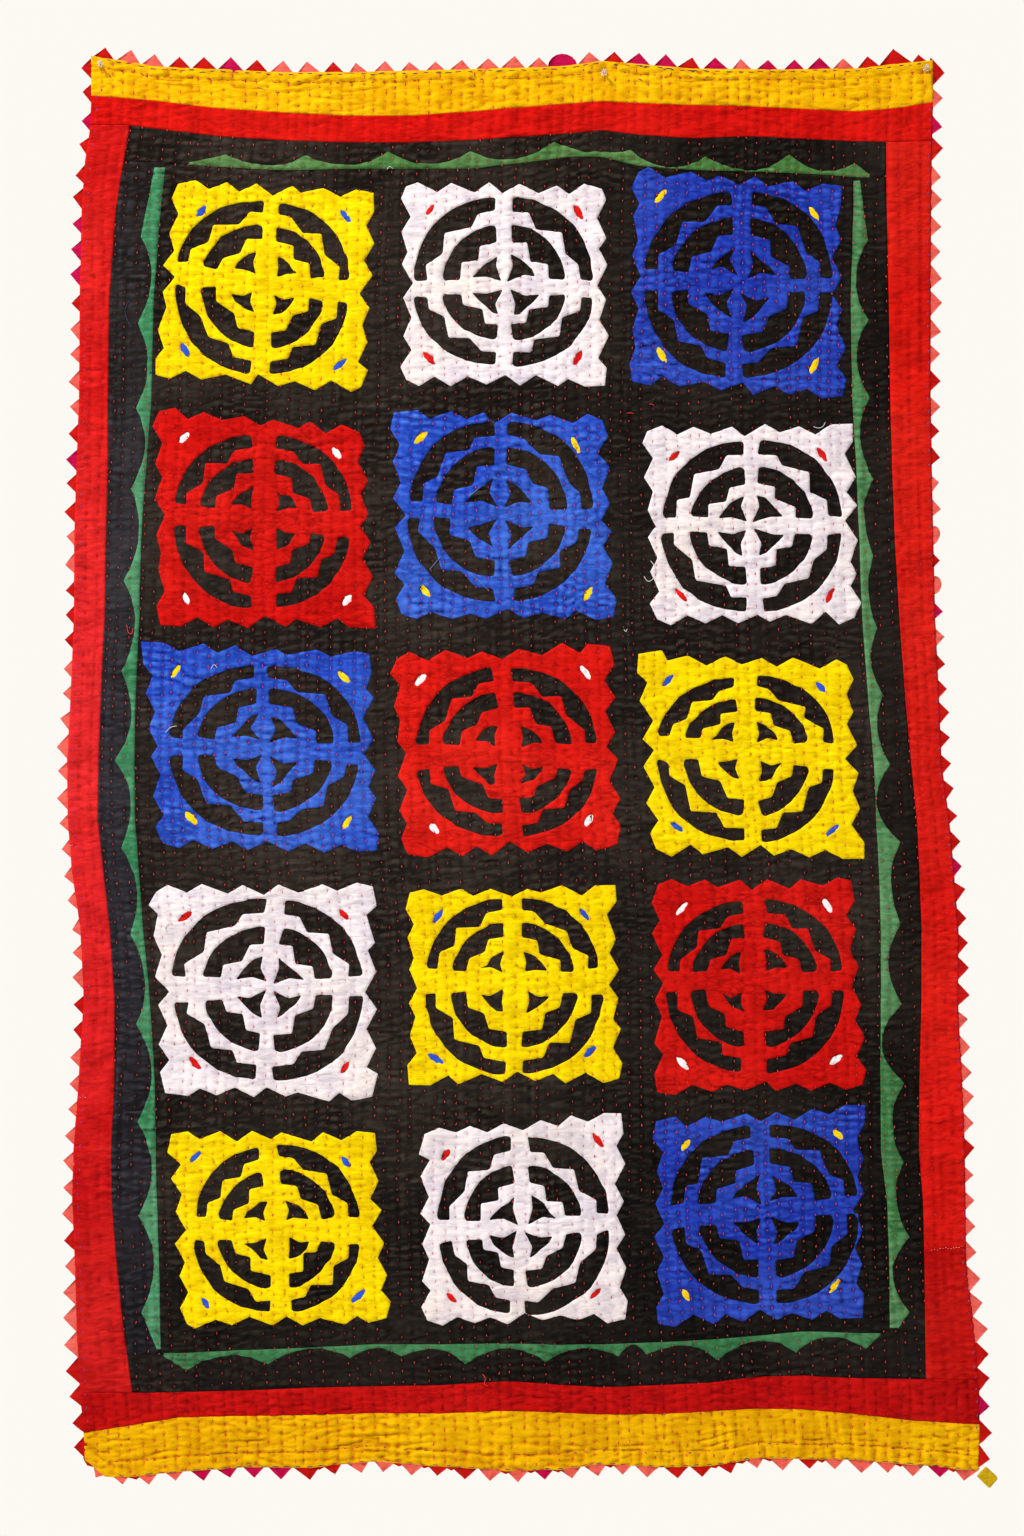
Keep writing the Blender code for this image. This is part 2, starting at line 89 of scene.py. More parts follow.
TOP = (
    (-660, 16, -44, -88, -144), (-632, 16, -44, -88, -144), (-580, 8, -48, -88, -144),
    (-534, 0, -52, -94, -144), (-440, -4, -63, -105, -150), (-344, -8, -69, -111, -155),
    (-248, -8, -74, -114, -153), (-152, -6, -74, -114, -153), (-57, -4, -68, -111, -153),
    (27, -2, -61, -105, -143), (87, 2, -56, -101, -135), (135, 9, -52, -96, -135),
    (192, 4, -55, -103, -149), (273, -3, -58, -108, -155), (356, -4, -60, -105, -157),
    (435, -4, -64, -109, -160), (519, -3, -68, -113, -166), (574, 3, -64, -114, -166),
    (632, 9, -54, -112, -166), (660, 9, -54, -112, -166),
)
BOTTOM_COLUMNS = ("x", "green", "seam", "yellow", "hem")
BOTTOM = (
    (-680, -1932, -1989, -2049, -2088), (-642, -1932, -1989, -2049, -2088),
    (-610, -1932, -1989, -2044, -2116), (-572, -1932, -1989, -2038, -2116),
    (-498, -1931, -1988, -2026, -2108), (-400, -1926, -1986, -2024, -2102),
    (-303, -1923, -1982, -2023, -2102), (-206, -1918, -1980, -2020, -2092),
    (-108, -1918, -1978, -2020, -2100), (-10, -1916, -1971, -2016, -2106),
    (72, -1918, -1977, -2019, -2104), (135, -1918, -1981, -2022, -2097),
    (226, -1915, -1978, -2021, -2102), (297, -1911, -1974, -2017, -2100),
    (366, -1905, -1965, -2013, -2088), (435, -1898, -1963, -2014, -2089),
    (506, -1900, -1967, -2020, -2090), (597, -1902, -1968, -2030, -2096),
    (698, -1902, -1968, -2036, -2106), (730, -1902, -1968, -2036, -2106),
)
GREEN_PEAKS = {      # place along the strip, height of the peak
    "top": ((-429, 18), (-310, 21), (-186, 25), (-63, 25), (63, 24), (178, 20), (290, 20), (416, 27), (514, 20)),
    "bottom": ((-488, 25), (-366, 22), (-243, 18), (-166, 17), (-70, 29), (50, 26), (160, 18), (201, 16), (308, 31), (426, 30), (530, 23)),
    "left": ((-256, 26), (-386, 22), (-514, 21), (-634, 20), (-772, 24), (-908, 22), (-1042, 29), (-1173, 23), (-1302, 19), (-1437, 22), (-1584, 26), (-1724, 28), (-1870, 27)),
    "right": ((-262, 22), (-381, 25), (-498, 25), (-620, 24), (-735, 19), (-843, 21), (-944, 22), (-1048, 23), (-1164, 34), (-1288, 29), (-1407, 31), (-1526, 35), (-1644, 31), (-1756, 31), (-1868, 29)),
}
GREEN_VALLEYS = {    # place between two peaks, how wide the strip stays there
    "top": ((-370, 5), (-248, 5), (-124, 6), (0, 6), (120, 6), (228, 1), (352, 1), (470, 5)),
    "bottom": ((-430, 6), (-310, 1), (-205, 5), (-118, 6), (-10, 6), (105, 5), (182, 1), (255, 6), (367, 7), (480, 6)),
    "left": ((-320, 5), (-450, 6), (-590, 3), (-719, 3), (-840, 5), (-975, 5), (-1108, 5), (-1240, 4), (-1379, 4), (-1529, 3), (-1654, 6), (-1797, 7)),
    "right": ((-320, 6), (-440, 7), (-560, 8), (-677, 8), (-790, 10), (-895, 8), (-1000, 9), (-1106, 1), (-1226, 17), (-1345, 11), (-1466, 1), (-1585, 17), (-1700, 14), (-1812, 4)),
}
GREEN_TIPS = {"top": (2.0, 3.0), "bottom": (3.0, 1.5), "left": (5.0, 15.0), "right": (12.0, 9.0)}     # its width at both ends, low place first
GREEN_ENDS = {"top": (-486, 536), "bottom": (-522, 552), "left": (-152, -1924), "right": (-172, -1892)}

# Cutwork squares: corners clockwise from the upper left, the middle of the
# rings, and the outer ring's reach to the left, right, up and down.
SQUARE_COLUMNS = ("name", "colour", "tl_x", "tl_z", "tr_x", "tr_z", "br_x", "br_z", "bl_x", "bl_z", "mid_x", "mid_z",
                  "left", "right", "up", "down")
SQUARES = (
    ("r1c1", "yellow", -506, -171, -207, -189, -219, -489, -536, -464, -372, -328, 134, 127, 126, 135),
    ("r1c2", "white", -164, -175, 140, -179, 141, -481, -164, -476, -9, -328, 138, 131, 133, 122),
    ("r1c3", "blue", 184, -150, 492, -183, 498, -498, 178, -475, 341, -329, 142, 140, 140, 140),
    ("r2c1", "red", -536, -512, -222, -543, -207, -841, -530, -841, -372, -680, 135, 131, 126, 134),
    ("r2c2", "blue", -179, -518, 141, -526, 156, -830, -171, -828, -17, -672, 138, 138, 140, 132),
    ("r2c3", "white", 196, -542, 508, -540, 521, -834, 212, -836, 358, -688, 134, 138, 128, 131),
    ("r3c1", "blue", -555, -865, -213, -880, -200, -1179, -530, -1172, -369, -1024, 146, 142, 126, 132),
    ("r3c2", "red", -182, -883, 150, -867, 164, -1173, -161, -1187, -3, -1032, 141, 131, 131, 124),
    ("r3c3", "yellow", 188, -880, 508, -893, 526, -1187, 210, -1181, 352, -1029, 136, 132, 114, 137),
    ("r4c1", "white", -543, -1231, -206, -1228, -205, -1551, -522, -1542, -364, -1384, 146, 142, 133, 138),
    ("r4c2", "yellow", -157, -1237, 153, -1231, 165, -1522, -152, -1526, 3, -1374, 132, 134, 126, 137),
    ("r4c3", "red", 213, -1221, 510, -1221, 532, -1534, 218, -1539, 363, -1374, 132, 136, 124, 137),
    ("r5c1", "yellow", -516, -1598, -207, -1602, -182, -1883, -493, -1890, -354, -1746, 125, 127, 127, 123),
    ("r5c2", "white", -136, -1598, 165, -1570, 171, -1881, -132, -1887, 16, -1743, 127, 131, 138, 130),
    ("r5c3", "blue", 214, -1581, 528, -1560, 524, -1875, 218, -1888, 382, -1716, 144, 140, 128, 140),
)
# The four spokes between the cut-outs: how wide, and how far off the upright or
# level line through the middle their outer ends lie.
SPOKE_COLUMNS = ("up", "down", "left", "right", "up_at", "down_at", "left_at", "right_at")
SPOKES = {
    "r1c1": (23, 28, 34, 34, 12, -6, 17, -9), "r1c2": (26, 20, 23, 25, -3, -2, -7, -5), "r1c3": (30, 26, 29, 20, 5, -7, 8, 0),
    "r2c1": (34, 38, 31, 37, 0, -1, 6, -8), "r2c2": (20, 29, 25, 29, 1, 7, 7, -7), "r2c3": (22, 26, 29, 25, 0, 8, -1, 1),
    "r3c1": (22, 20, 28, 29, -8, 6, 3, -7), "r3c2": (29, 29, 36, 40, -12, 4, -4, -1), "r3c3": (34, 26, 37, 37, -1, 10, 5, -6),
    "r4c1": (28, 24, 36, 29, 10, -6, -2, 4), "r4c2": (33, 24, 35, 37, 0, 1, 1, 1), "r4c3": (37, 37, 28, 30, 0, 0, 1, 2),
    "r5c1": (30, 31, 35, 38, -12, 9, 2, 1), "r5c2": (26, 21, 30, 29, -4, -6, -6, 8), "r5c3": (30, 26, 35, 24, -11, 1, -12, 8),
}
# One pinked side from corner to corner: place along it, depth below the line.
SIDE_TEETH = (
    (0.092, 0.5), (0.165, 14.0), (0.248, 1.5), (0.338, 13.5), (0.420, 2.0), (0.500, 16.5),
    (0.580, 2.0), (0.664, 13.5), (0.752, 1.5), (0.838, 14.0), (0.908, 0.5),
)
CORNER_CUTS = (1.0, 4.5, 7.5, 9.0)     # how far the cloth's corner stays inside the square's
# Inner edge of the outer ring: degrees from the level spoke, share of the outer
# ring's radius.  Then by colour: how much less deep the outer ring is cut, and
# the middle ring's outer edge, teeth and notches, all as shares of that radius.
OUTER_STEPS = ((19.5, 0.88), (30.5, 0.765), (45, 0.868), (60, 0.745), (70, 0.852))
RING_COLUMNS = ("narrower", "outside", "tooth", "notch")
RINGS = {"yellow": (0.022, 0.718, 0.575, 0.465), "red": (0.014, 0.728, 0.58, 0.475), "white": (0.002, 0.69, 0.525, 0.40), "blue": (0.014, 0.725, 0.57, 0.45)}
# Bird's foot by colour: upper claw, three points of its back, side claw, inner
# notch, heel and outer notch, x and z from the middle.
FEET = {
    "white": ((9, 43), (19, 39), (29, 31), (39, 21), (47, 10), (26, 13), (3, 3), (12.5, 27)),
    "blue": ((8, 51), (20, 44), (32, 34), (41, 25), (48, 16), (27, 18), (4, 8), (15, 30)),
    "yellow": ((14, 42), (24, 39), (33, 33), (41, 25), (48, 16), (31, 17), (16, 10), (19, 26)),
    "red": ((15, 43), (25, 40), (34, 34), (42, 26), (49, 16), (32, 18), (17, 10), (20, 27)),
}
LEAVES = {"yellow": "leaf_blue", "white": "leaf_red", "blue": "leaf_yellow", "red": "leaf_white"}

# Edging of folded triangles: number along the edge, height, lean along the
# edge, seed, and the colours in order (r red, c coral, m magenta).
POINTS = {     # count, lean of the tips, seed, colours along the hem clockwise, (place 0 to 1, height)
    "top": (33, 0.0, 3, "rccrrmrccrccccccccmcrmmrmcmmmcrrr", ((0, 17), (0.12, 18), (0.25, 14), (0.45, 13), (0.5, 16), (0.7, 16), (0.9, 14.5), (0.94, 16), (0.96, 24), (0.985, 10), (1, 10))),
    "right": (55, 0.0, 5, "rcmrccccccccrcrrcccrcmcrrrrrrrrmrrrrrcccccrcccccccrrmrr", ((0, 16), (0.08, 14), (0.16, 15.5), (0.28, 12.5), (0.36, 9.5), (0.42, 12.5), (0.58, 13), (0.63, 16), (0.8, 14), (0.9, 18.5), (1, 16))),
    "bottom": (34, -1.5, 7, "cmccccrccrrrccccmccrrcccrrmmmmcccc", ((0, 15.5), (0.25, 16.5), (0.5, 14.5), (0.8, 15.5), (0.93, 13), (1, 9))),
    "left": (54, 0.0, 11, "rrrrccccrcccccccrrcccccccccccccrrrccrrmrccccrmmmrrrmrr", ((0, 17), (0.08, 19), (0.2, 13), (0.4, 14), (0.5, 15), (0.6, 11), (0.72, 15.5), (0.85, 13), (1, 14))),
}
ROUNDED = {"top": (19,), "right": (19, 21)}      # blunt tips
PINS = {"left": (-617, 3), "middle": (138, -10), "right": (621, -4)}


# ------------------------------------------------------------ lines and noise
def line(rows, names, name, shift=0.0):
    """Column NAME of a table as a function of its first column."""
    rows = sorted(rows)
    at = np.array([r[0] for r in rows], float)
    to = np.array([r[names.index(name)] for r in rows], float) + shift
    return lambda v: np.interp(v, at, to)


def side(name, shift=0.0):
    return line(SIDES, SIDE_COLUMNS, name, shift)


def head(name, shift=0.0):
    return line(TOP, TOP_COLUMNS, name, shift)


def foot(name, shift=0.0):
    return line(BOTTOM, BOTTOM_COLUMNS, name, shift)


LATTICES = {}


def noise(u, v, seed):
    """Smooth gradient noise, about -1 to 1."""
    if seed not in LATTICES:
        turn = np.random.default_rng(seed).uniform(0, 2 * math.pi, (128, 128)).astype(np.float32)
        LATTICES[seed] = (np.cos(turn), np.sin(turn))
    cos, sin = LATTICES[seed]
    u, v = np.broadcast_arrays(np.asarray(u, np.float32), np.asarray(v, np.float32))
    ui, vi = np.floor(u), np.floor(v)
    fu, fv = u - ui, v - vi
    ui, vi = ui.astype(int), vi.astype(int)

    def corner(i, j):
        a, b = (ui + i) % 128, (vi + j) % 128
        return cos[a, b] * (fu - i) + sin[a, b] * (fv - j)

    su = fu * fu * fu * (fu * (fu * 6 - 15) + 10)
    sv = fv * fv * fv * (fv * (fv * 6 - 15) + 10)
    low = corner(0, 0) * (1 - su) + corner(1, 0) * su
    high = corner(0, 1) * (1 - su) + corner(1, 1) * su
    return 1.45 * (low * (1 - sv) + high * sv)


def bell(d, width):
    return np.exp(-(d / width) ** 2)


def ease(d, low, high):
    t = np.clip((d - low) / (high - low), 0, 1)
    return t * t * (3 - 2 * t)


# --------------------------------------------------- one height field for all
CELL = 1.5
GX0, GX1, GZ0, GZ1 = -765.0, 780.0, -2205.0, 75.0
gx = np.arange(GX0, GX1 + CELL, CELL)
gz = np.arange(GZ0, GZ1 + CELL, CELL)
GX, GZ = np.meshgrid(gx.astype(np.float32), gz.astype(np.float32))


def sample(field, x, z):
    """FIELD read at x, z between its cells."""
    u = np.clip((np.asarray(x, float) - GX0) / CELL, 0, len(gx) - 1.001)
    v = np.clip((np.asarray(z, float) - GZ0) / CELL, 0, len(gz) - 1.001)
    i, j = u.astype(int), v.astype(int)
    fu, fv = u - i, v - j
    return (
        field[j, i] * (1 - fu) * (1 - fv) + field[j, i + 1] * fu * (1 - fv)
        + field[j + 1, i] * (1 - fu) * fv + field[j + 1, i + 1] * fu * fv
    )


def box_blur(field, reach):
    """Mean over a square of about twice REACH, in mm."""
    n = max(1, int(round(reach / CELL)))
    for axis in (0, 1):
        pad = [(0, 0), (0, 0)]
        pad[axis] = (n + 1, n)
        c = np.cumsum(np.pad(field, pad, mode="edge").astype(np.float64), axis=axis)
        a = [slice(None), slice(None)]
        b = [slice(None), slice(None)]
        a[axis], b[axis] = slice(2 * n + 1, None), slice(0, -(2 * n + 1))
        field = ((c[tuple(a)] - c[tuple(b)]) / (2 * n + 1)).astype(np.float32)
    return field


def fill(loops):
    """1 inside the closed LOOPS (even-odd), 0 outside, on the height field's cells."""
    out = np.zeros(GX.shape, np.float32)
    segs = np.concatenate([np.stack([np.array(p, float), np.roll(np.array(p, float), -1, 0)], 1) for p in loops])
    low, high = segs[:, :, 1].min(), segs[:, :, 1].max()
    for j in range(max(0, int((low - GZ0) / CELL)), min(len(gz), int((high - GZ0) / CELL) + 2)):
        z = gz[j]
        a, b = segs[:, 0], segs[:, 1]
        hit = (a[:, 1] > z) != (b[:, 1] > z)
        if hit.any():
            a, b = a[hit], b[hit]
            xs = np.sort(a[:, 0] + (z - a[:, 1]) / (b[:, 1] - a[:, 1]) * (b[:, 0] - a[:, 0]))
            out[j] = np.maximum(out[j], np.searchsorted(xs, gx) % 2)
    return out


# ------------------------------------------------------------- running stitch
ROWS = 76


def running_stitches():
    """Upright wavy rows of running stitch: x, z, half length, half width, slant, tone."""
    rng = np.random.default_rng(2024)
    hem_l, hem_r, top, low = side("hem_l"), side("hem_r"), head("hem"), foot("hem")
    found = []
    for i in range(ROWS):
        share = (i + 0.5 + rng.normal(0, 0.06)) / ROWS
        z = 12.0 - rng.uniform(0, 16) - np.concatenate([[0], np.cumsum(np.maximum(9.0, rng.normal(15.6, 2.0, 160)))])
        x = hem_l(z) + 9 + (hem_r(z) - hem_l(z) - 18) * share
        x = x + 5.5 * noise(z / 260.0, i * 0.23, 31) + 3.0 * noise(z / 95.0, i * 0.8, 32) + rng.normal(0, 0.7, z.shape)
        row = np.stack([x, z, rng.uniform(1.7, 2.9, z.shape), rng.uniform(0.75, 1.05, z.shape), rng.normal(0, 0.16, z.shape), rng.uniform(0.25, 1.0, z.shape)], 1)
        keep = (z < top(x) - 7) & (z > low(x) + 8) & (rng.random(z.shape) > 0.05)
        found.append(row[keep])
    return np.concatenate(found)


STITCHES = running_stitches()


# ------------------------------------------------------------------ the folds
def hanging():
    """The quilt's main folds: how far its wall side stands away from the wall."""
    across = ((-760, 1.8), (-181, 0.2), (-8, 3.2), (175, 0.2), (760, 4.4))
    down = ((60, 0.0), (-504, 1.8), (-1205, 0.6), (-1556, 2.2), (-2180, 6.5))
    a = np.mean([np.interp(gx + s, [r[0] for r in across], [r[1] for r in across]) for s in np.linspace(-24, 24, 9)], axis=0)
    down = sorted(down)
    b = np.mean([np.interp(gz + s, [r[0] for r in down], [r[1] for r in down]) for s in np.linspace(-60, 60, 9)], axis=0)
    return (a[None, :] + b[:, None]).astype(np.float32)


def relief():
    """Puckers, creases, seams and stitch dimples, on top of the main folds."""
    h = 1.1 * noise(GX / 250, GZ / 170, 1) + 0.6 * noise(GX / 85, GZ / 62, 2)
    # the upright rows of stitching: dimples joined up into shallow channels
    down, across = 8, 4
    ci = np.round((STITCHES[:, 0] - GX0) / CELL).astype(int)
    cj = np.round((STITCHES[:, 1] - GZ0) / CELL).astype(int)
    dimple, channel = np.zeros_like(h), np.zeros_like(h)
    for dj in range(-down, down + 1):
        for di in range(-across, across + 1):
            i, j = ci + di, cj + dj
            ok = (i >= 0) & (i < len(gx)) & (j >= 0) & (j < len(gz))
            i, j, sx, sz = i[ok], j[ok], STITCHES[ok, 0], STITCHES[ok, 1]
            dx, dz = gx[i] - sx, gz[j] - sz
            np.add.at(dimple, (j, i), np.exp(-(dx * dx / 8.0 + dz * dz / 11.0)).astype(np.float32))
            np.add.at(channel, (j, i), np.exp(-(dx * dx / 9.0 + dz * dz / 80.0)).astype(np.float32))
    channel = np.minimum(channel, 1.0)
    # level puckers drawn up between the rows: round ridges, sharp between, stepped a little from row to row
    warp = 6.0 * noise(GX / 70, GZ / 60, 3) + 2.0 * noise(GX / 24, GZ / 40, 10)
    hem_l, hem_r = side("hem_l")(GZ), side("hem_r")(GZ)
    row = (GX - hem_l - 9) / (hem_r - hem_l - 18) * ROWS
    row = row - (5.5 * noise(GZ / 260, row * 0.23, 31) + 3.0 * noise(GZ / 95, row * 0.8, 32)) / (hem_r - hem_l - 18) * ROWS
    steps = np.random.default_rng(91).normal(0, 1.7, ROWS + 3)
    warp += steps[np.clip(np.floor(row - 0.5).astype(int) + 1, 0, ROWS + 2)]
    force = 0.6 + 0.6 * ease(noise(GX / 150, GZ / 90, 6), -0.5, 0.5)
    puckers = 3.1 * force * np.abs(noise(GX / 46, (GZ + warp) / 12.0, 4)) ** 0.9
    puckers += 1.1 * force * np.abs(noise(GX / 17, (GZ + warp) / 8.0, 5)) ** 0.9
    # stronger in the borders, where no second cloth lies over the face
    border = (GZ > head("seam")(GX)) | (GZ < foot("seam")(GX)) | (GX < side("seam_l")(GZ)) | (GX > side("seam_r")(GZ))
    border = box_blur(border.astype(np.float32), 9.0)
    lower = ease(-GZ, 1250, 1650)
    puckers *= 1 - 0.55 * ease(GX, 60, 200) * (1 - ease(GX, 560, 650)) * (GZ < foot("yellow")(GX))     # upright folds there instead
    h += puckers * (1 - 0.4 * channel) * (0.76 + (0.2 + 0.45 * lower) * border) - 0.75
    h -= channel * (0.34 + 0.34 * border) + dimple * (0.85 + 0.2 * border)
    # fewer, longer creases
    strong = ease(noise(GX / 110, GZ / 60, 7), -0.25, 0.4)
    n = noise(GX / 100, (GZ + 1.5 * warp) / 21, 8)
    h -= 1.4 * bell(n, 0.075) * strong
    # old folds: a raised one down the middle, with a lower line just beside it
    h += 1.3 * bell(GX + 4 + 5 * noise(GZ / 300, 0 * GZ, 12), 11)
    h -= 0.7 * bell(GX - 12 + 5 * noise(GZ / 300, 0 * GZ, 12), 9)
    return h


def seams(h):
    """Seam lines pressed into the relief, and the hems' gathers."""
    top, low, left, right = head("hem"), foot("hem"), side("hem_l"), side("hem_r")
    inside_z = (GZ < top(GX)) & (GZ > low(GX))
    for name in ("seam_l", "seam_r"):
        h -= 0.35 * bell(GX - side(name)(GZ), 3.2) * inside_z
    for rows in (head("yellow"), head("seam"), foot("seam"), foot("yellow")):
        h -= 0.35 * bell(GZ - rows(GX), 3.2)
    # the upper band's hem: folded cloth, stitched down along its inner edge, gathered between
    d = top(GX) - GZ
    line_at = 15.5 + 2.5 * noise(GX / 70, 0 * GX, 13)
    near = GZ > -70
    h += 0.7 * (1 - ease(d, line_at - 1.5, line_at + 1.5)) * near
    h -= 2.3 * bell(d - line_at, 1.5) * (0.6 + 0.5 * noise(GX / 30, 0 * GX, 33)) * near
    h += 0.9 * noise(GX / 9, GZ / 60, 14) * ease(d, 0, 5) * (1 - ease(d, 13, 24)) * near
    for seed, at, wide in ((34, 20.0, 60.0), (35, 27.0, 90.0)):
        pull = at + 5.0 * noise(GX / 55, 0 * GX, seed)
        h -= 2.4 * bell(d - pull, 1.4) * ease(noise(GX / wide, 0 * GX, seed + 2), -0.05, 0.4) * near
    # the lower band's: a deeper fold, more strongly gathered
    d = GZ - low(GX)
    line_at = 23.5 + 2.5 * noise(GX / 60, 0 * GX, 15)
    near = GZ < -2000
    h += 0.8 * (1 - ease(d, line_at - 1.5, line_at + 1.5)) * near
    h -= 3.2 * bell(d - line_at, 1.5) * (0.65 + 0.5 * noise(GX / 26, 0 * GX, 38)) * near
    h += 2.6 * noise(GX / 11, GZ / 70, 16) * ease(d, 0, 5) * (1 - ease(d, 21, 36)) * near
    folds = ease(GX, 90, 200) * (1 - ease(GX, 520, 620)) + 0.35 * ease(-GX, 200, 320)
    h += 3.3 * noise(GX / 9 + GZ / 60, GZ / 110, 61) * folds * (1 - ease(d, 40, 74)) * near
    for seed, at, wide in ((39, 31.0, 70.0), (41, 42.0, 120.0)):
        pull = at + 7.0 * noise(GX / 60, 0 * GX, seed)
        h -= 2.9 * bell(d - pull, 1.5) * ease(noise(GX / wide, 0 * GX, seed + 3), 0.0, 0.4) * near
    # a pressed line down the lower part of the left red strip
    d = GX - left(GZ)
    h -= 1.2 * bell(d - 24 - 2 * noise(GZ / 120, 0 * GZ, 71), 1.6) * ease(-GZ, 620, 900) * (1 - ease(-GZ, 1800, 1950))
    # side hems
    for d in (GX - left(GZ), right(GZ) - GX):
        h -= 0.45 * bell(d - 7, 1.8)
    # edges that wave a little
    d = np.minimum(GX - left(GZ), right(GZ) - GX)
    h += 1.6 * noise(GZ / 95, GX / 400, 17) * (1 - ease(d, 5, 75))
    d = GZ - low(GX)
    h += 2.2 * noise(GX / 90, GZ / 300, 18) * (1 - ease(d, 0, 80))
    # creases that run out from the pins
    for seed, (px, pz) in enumerate(PINS.values()):
        dx, dz = GX - px, GZ - pz
        r = np.hypot(dx, dz) + 0.1
        angle = np.arctan2(dz, dx)
        pull = noise(angle * 3.4 + 10 * seed, r / 160, 20 + seed)
        h += 1.9 * pull * ease(r, 4, 26) * np.exp(-r / 75) * (GZ < top(GX) + 4)
        h -= 1.2 * bell(r, 10)
    # the raised crease down the right red strip, doubled over near the top
    x0 = 606 + 3 * noise(GZ / 160, 0 * GZ, 19)
    h += 1.3 * bell(GX - x0, 3.0) * ease(-GZ, 95, 135) * (1 - ease(-GZ, 600, 800))
    return h


BASE = hanging()
RELIEF = seams(relief())
H = BASE + RELIEF
# how far each place lies below its neighbours: the cloth materials paint shade into the hollows and highlight onto the
# ridges from it
HOLLOW = np.clip((box_blur(box_blur(H, 5.0), 3.5) - H) / 1.3, -1, 1)


# --------------------------------------------------------------- making meshes
def piece(name, points, faces, material, smooth=True, values=None):
    """A mesh object from points in millimetres, riding on the quilt."""
    points = np.asarray(points, np.float64)
    mesh = bpy.data.meshes.new(name)
    if isinstance(faces, list):
        sizes = np.array([len(f) for f in faces], np.int32)
        corners = np.array([v for f in faces for v in f], np.int32)
    else:
        sizes = np.full(len(faces), faces.shape[1], np.int32)
        corners = np.ascontiguousarray(faces, np.int32).ravel()
    mesh.vertices.add(len(points))
    mesh.vertices.foreach_set("co", (points * MM).astype(np.float32).ravel())
    mesh.loops.add(len(corners))
    mesh.loops.foreach_set("vertex_index", corners)
    mesh.polygons.add(len(sizes))
    mesh.polygons.foreach_set("loop_start", np.concatenate([[0], np.cumsum(sizes)[:-1]]).astype(np.int32))
    mesh.update(calc_edges=True)
    mesh.polygons.foreach_set("use_smooth", np.full(len(mesh.polygons), smooth))
    for key, data in (values or {}).items():
        mesh.attributes.new(key, "FLOAT", "POINT").data.foreach_set("value", np.asarray(data, np.float32))
    mesh.materials.append(material)
    mesh.update()
    obj = bpy.data.objects.new(name, mesh)
    bpy.context.scene.collection.objects.link(obj)
    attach(obj, "root")
    return obj


def on_quilt(x, z, above):
    """Points on the quilt's front at x, z, ABOVE its face by some mm."""
    y = -(FACE + sample(H, x, z) + above)
    return np.stack([x, y, z], -1)


# the hollow value handed to each cloth, for its painted shade and highlight
def hollow_at(x, z):
    return sample(HOLLOW, x, z)


def grid_faces(rows, columns):
    """Quads of a grid whose rows run from the upper edge down, facing the front."""
    k = np.arange(rows * columns).reshape(rows, columns)
    return np.stack([k[1:, :-1], k[1:, 1:], k[:-1, 1:], k[:-1, :-1]], -1).reshape(-1, 4)


EDGE_STEPS = (0.0, 0.45, 1.2, 2.4, 4.5)


def steps_across(length, step):
    """Shares and offsets of grid lines between two edges: close at the edges, even between."""
    near = list(EDGE_STEPS)
    n = max(2, int(round((length - 2 * near[-1]) / step)))
    a = [0.0] * len(near) + [k / n for k in range(1, n)] + [1.0] * len(near)
    d = near + [near[-1] * (1 - 2 * k / n) for k in range(1, n)] + [-v for v in near[::-1]]
    return np.array(a), np.array(d)


def patch(upper, lower, left, right, across, down):
    """Grid points between two lines across and two lines down, with their distances to the four edges."""
    mid_z = 0.5 * (upper(0.0) + lower(0.0))
    width = float(right(mid_z) - left(mid_z))
    mid_x = 0.5 * (left(mid_z) + right(mid_z))
    height = float(upper(mid_x) - lower(mid_x))
    a, da = steps_across(width, across)
    b, db = steps_across(height, down)
    x = np.broadcast_to(left(mid_z) + a * width + da, (len(b), len(a))).copy()
    z = np.zeros_like(x)
    for _ in range(8):
        u, l = upper(x), lower(x)
        z = u + (l - u) * b[:, None] - db[:, None]
        p, q = left(z), right(z)
        x = p + (q - p) * a[None, :] + da[None, :]
    return x, z, x - left(z), right(z) - x, upper(x) - z, z - lower(x)


def rolled(d, radius=2.4):
    """Height share of a turned-in edge at distance D from the fold."""
    t = np.clip(d / radius, 0, 1)
    return np.sqrt(np.clip(1 - (1 - t) ** 2, 0, 1))


# ------------------------------------------------------------------ materials
def linear(rgb):
    return [c / 12.92 / 255 if c / 255 <= 0.04045 else ((c / 255 + 0.055) / 1.055) ** 2.4 for c in rgb]


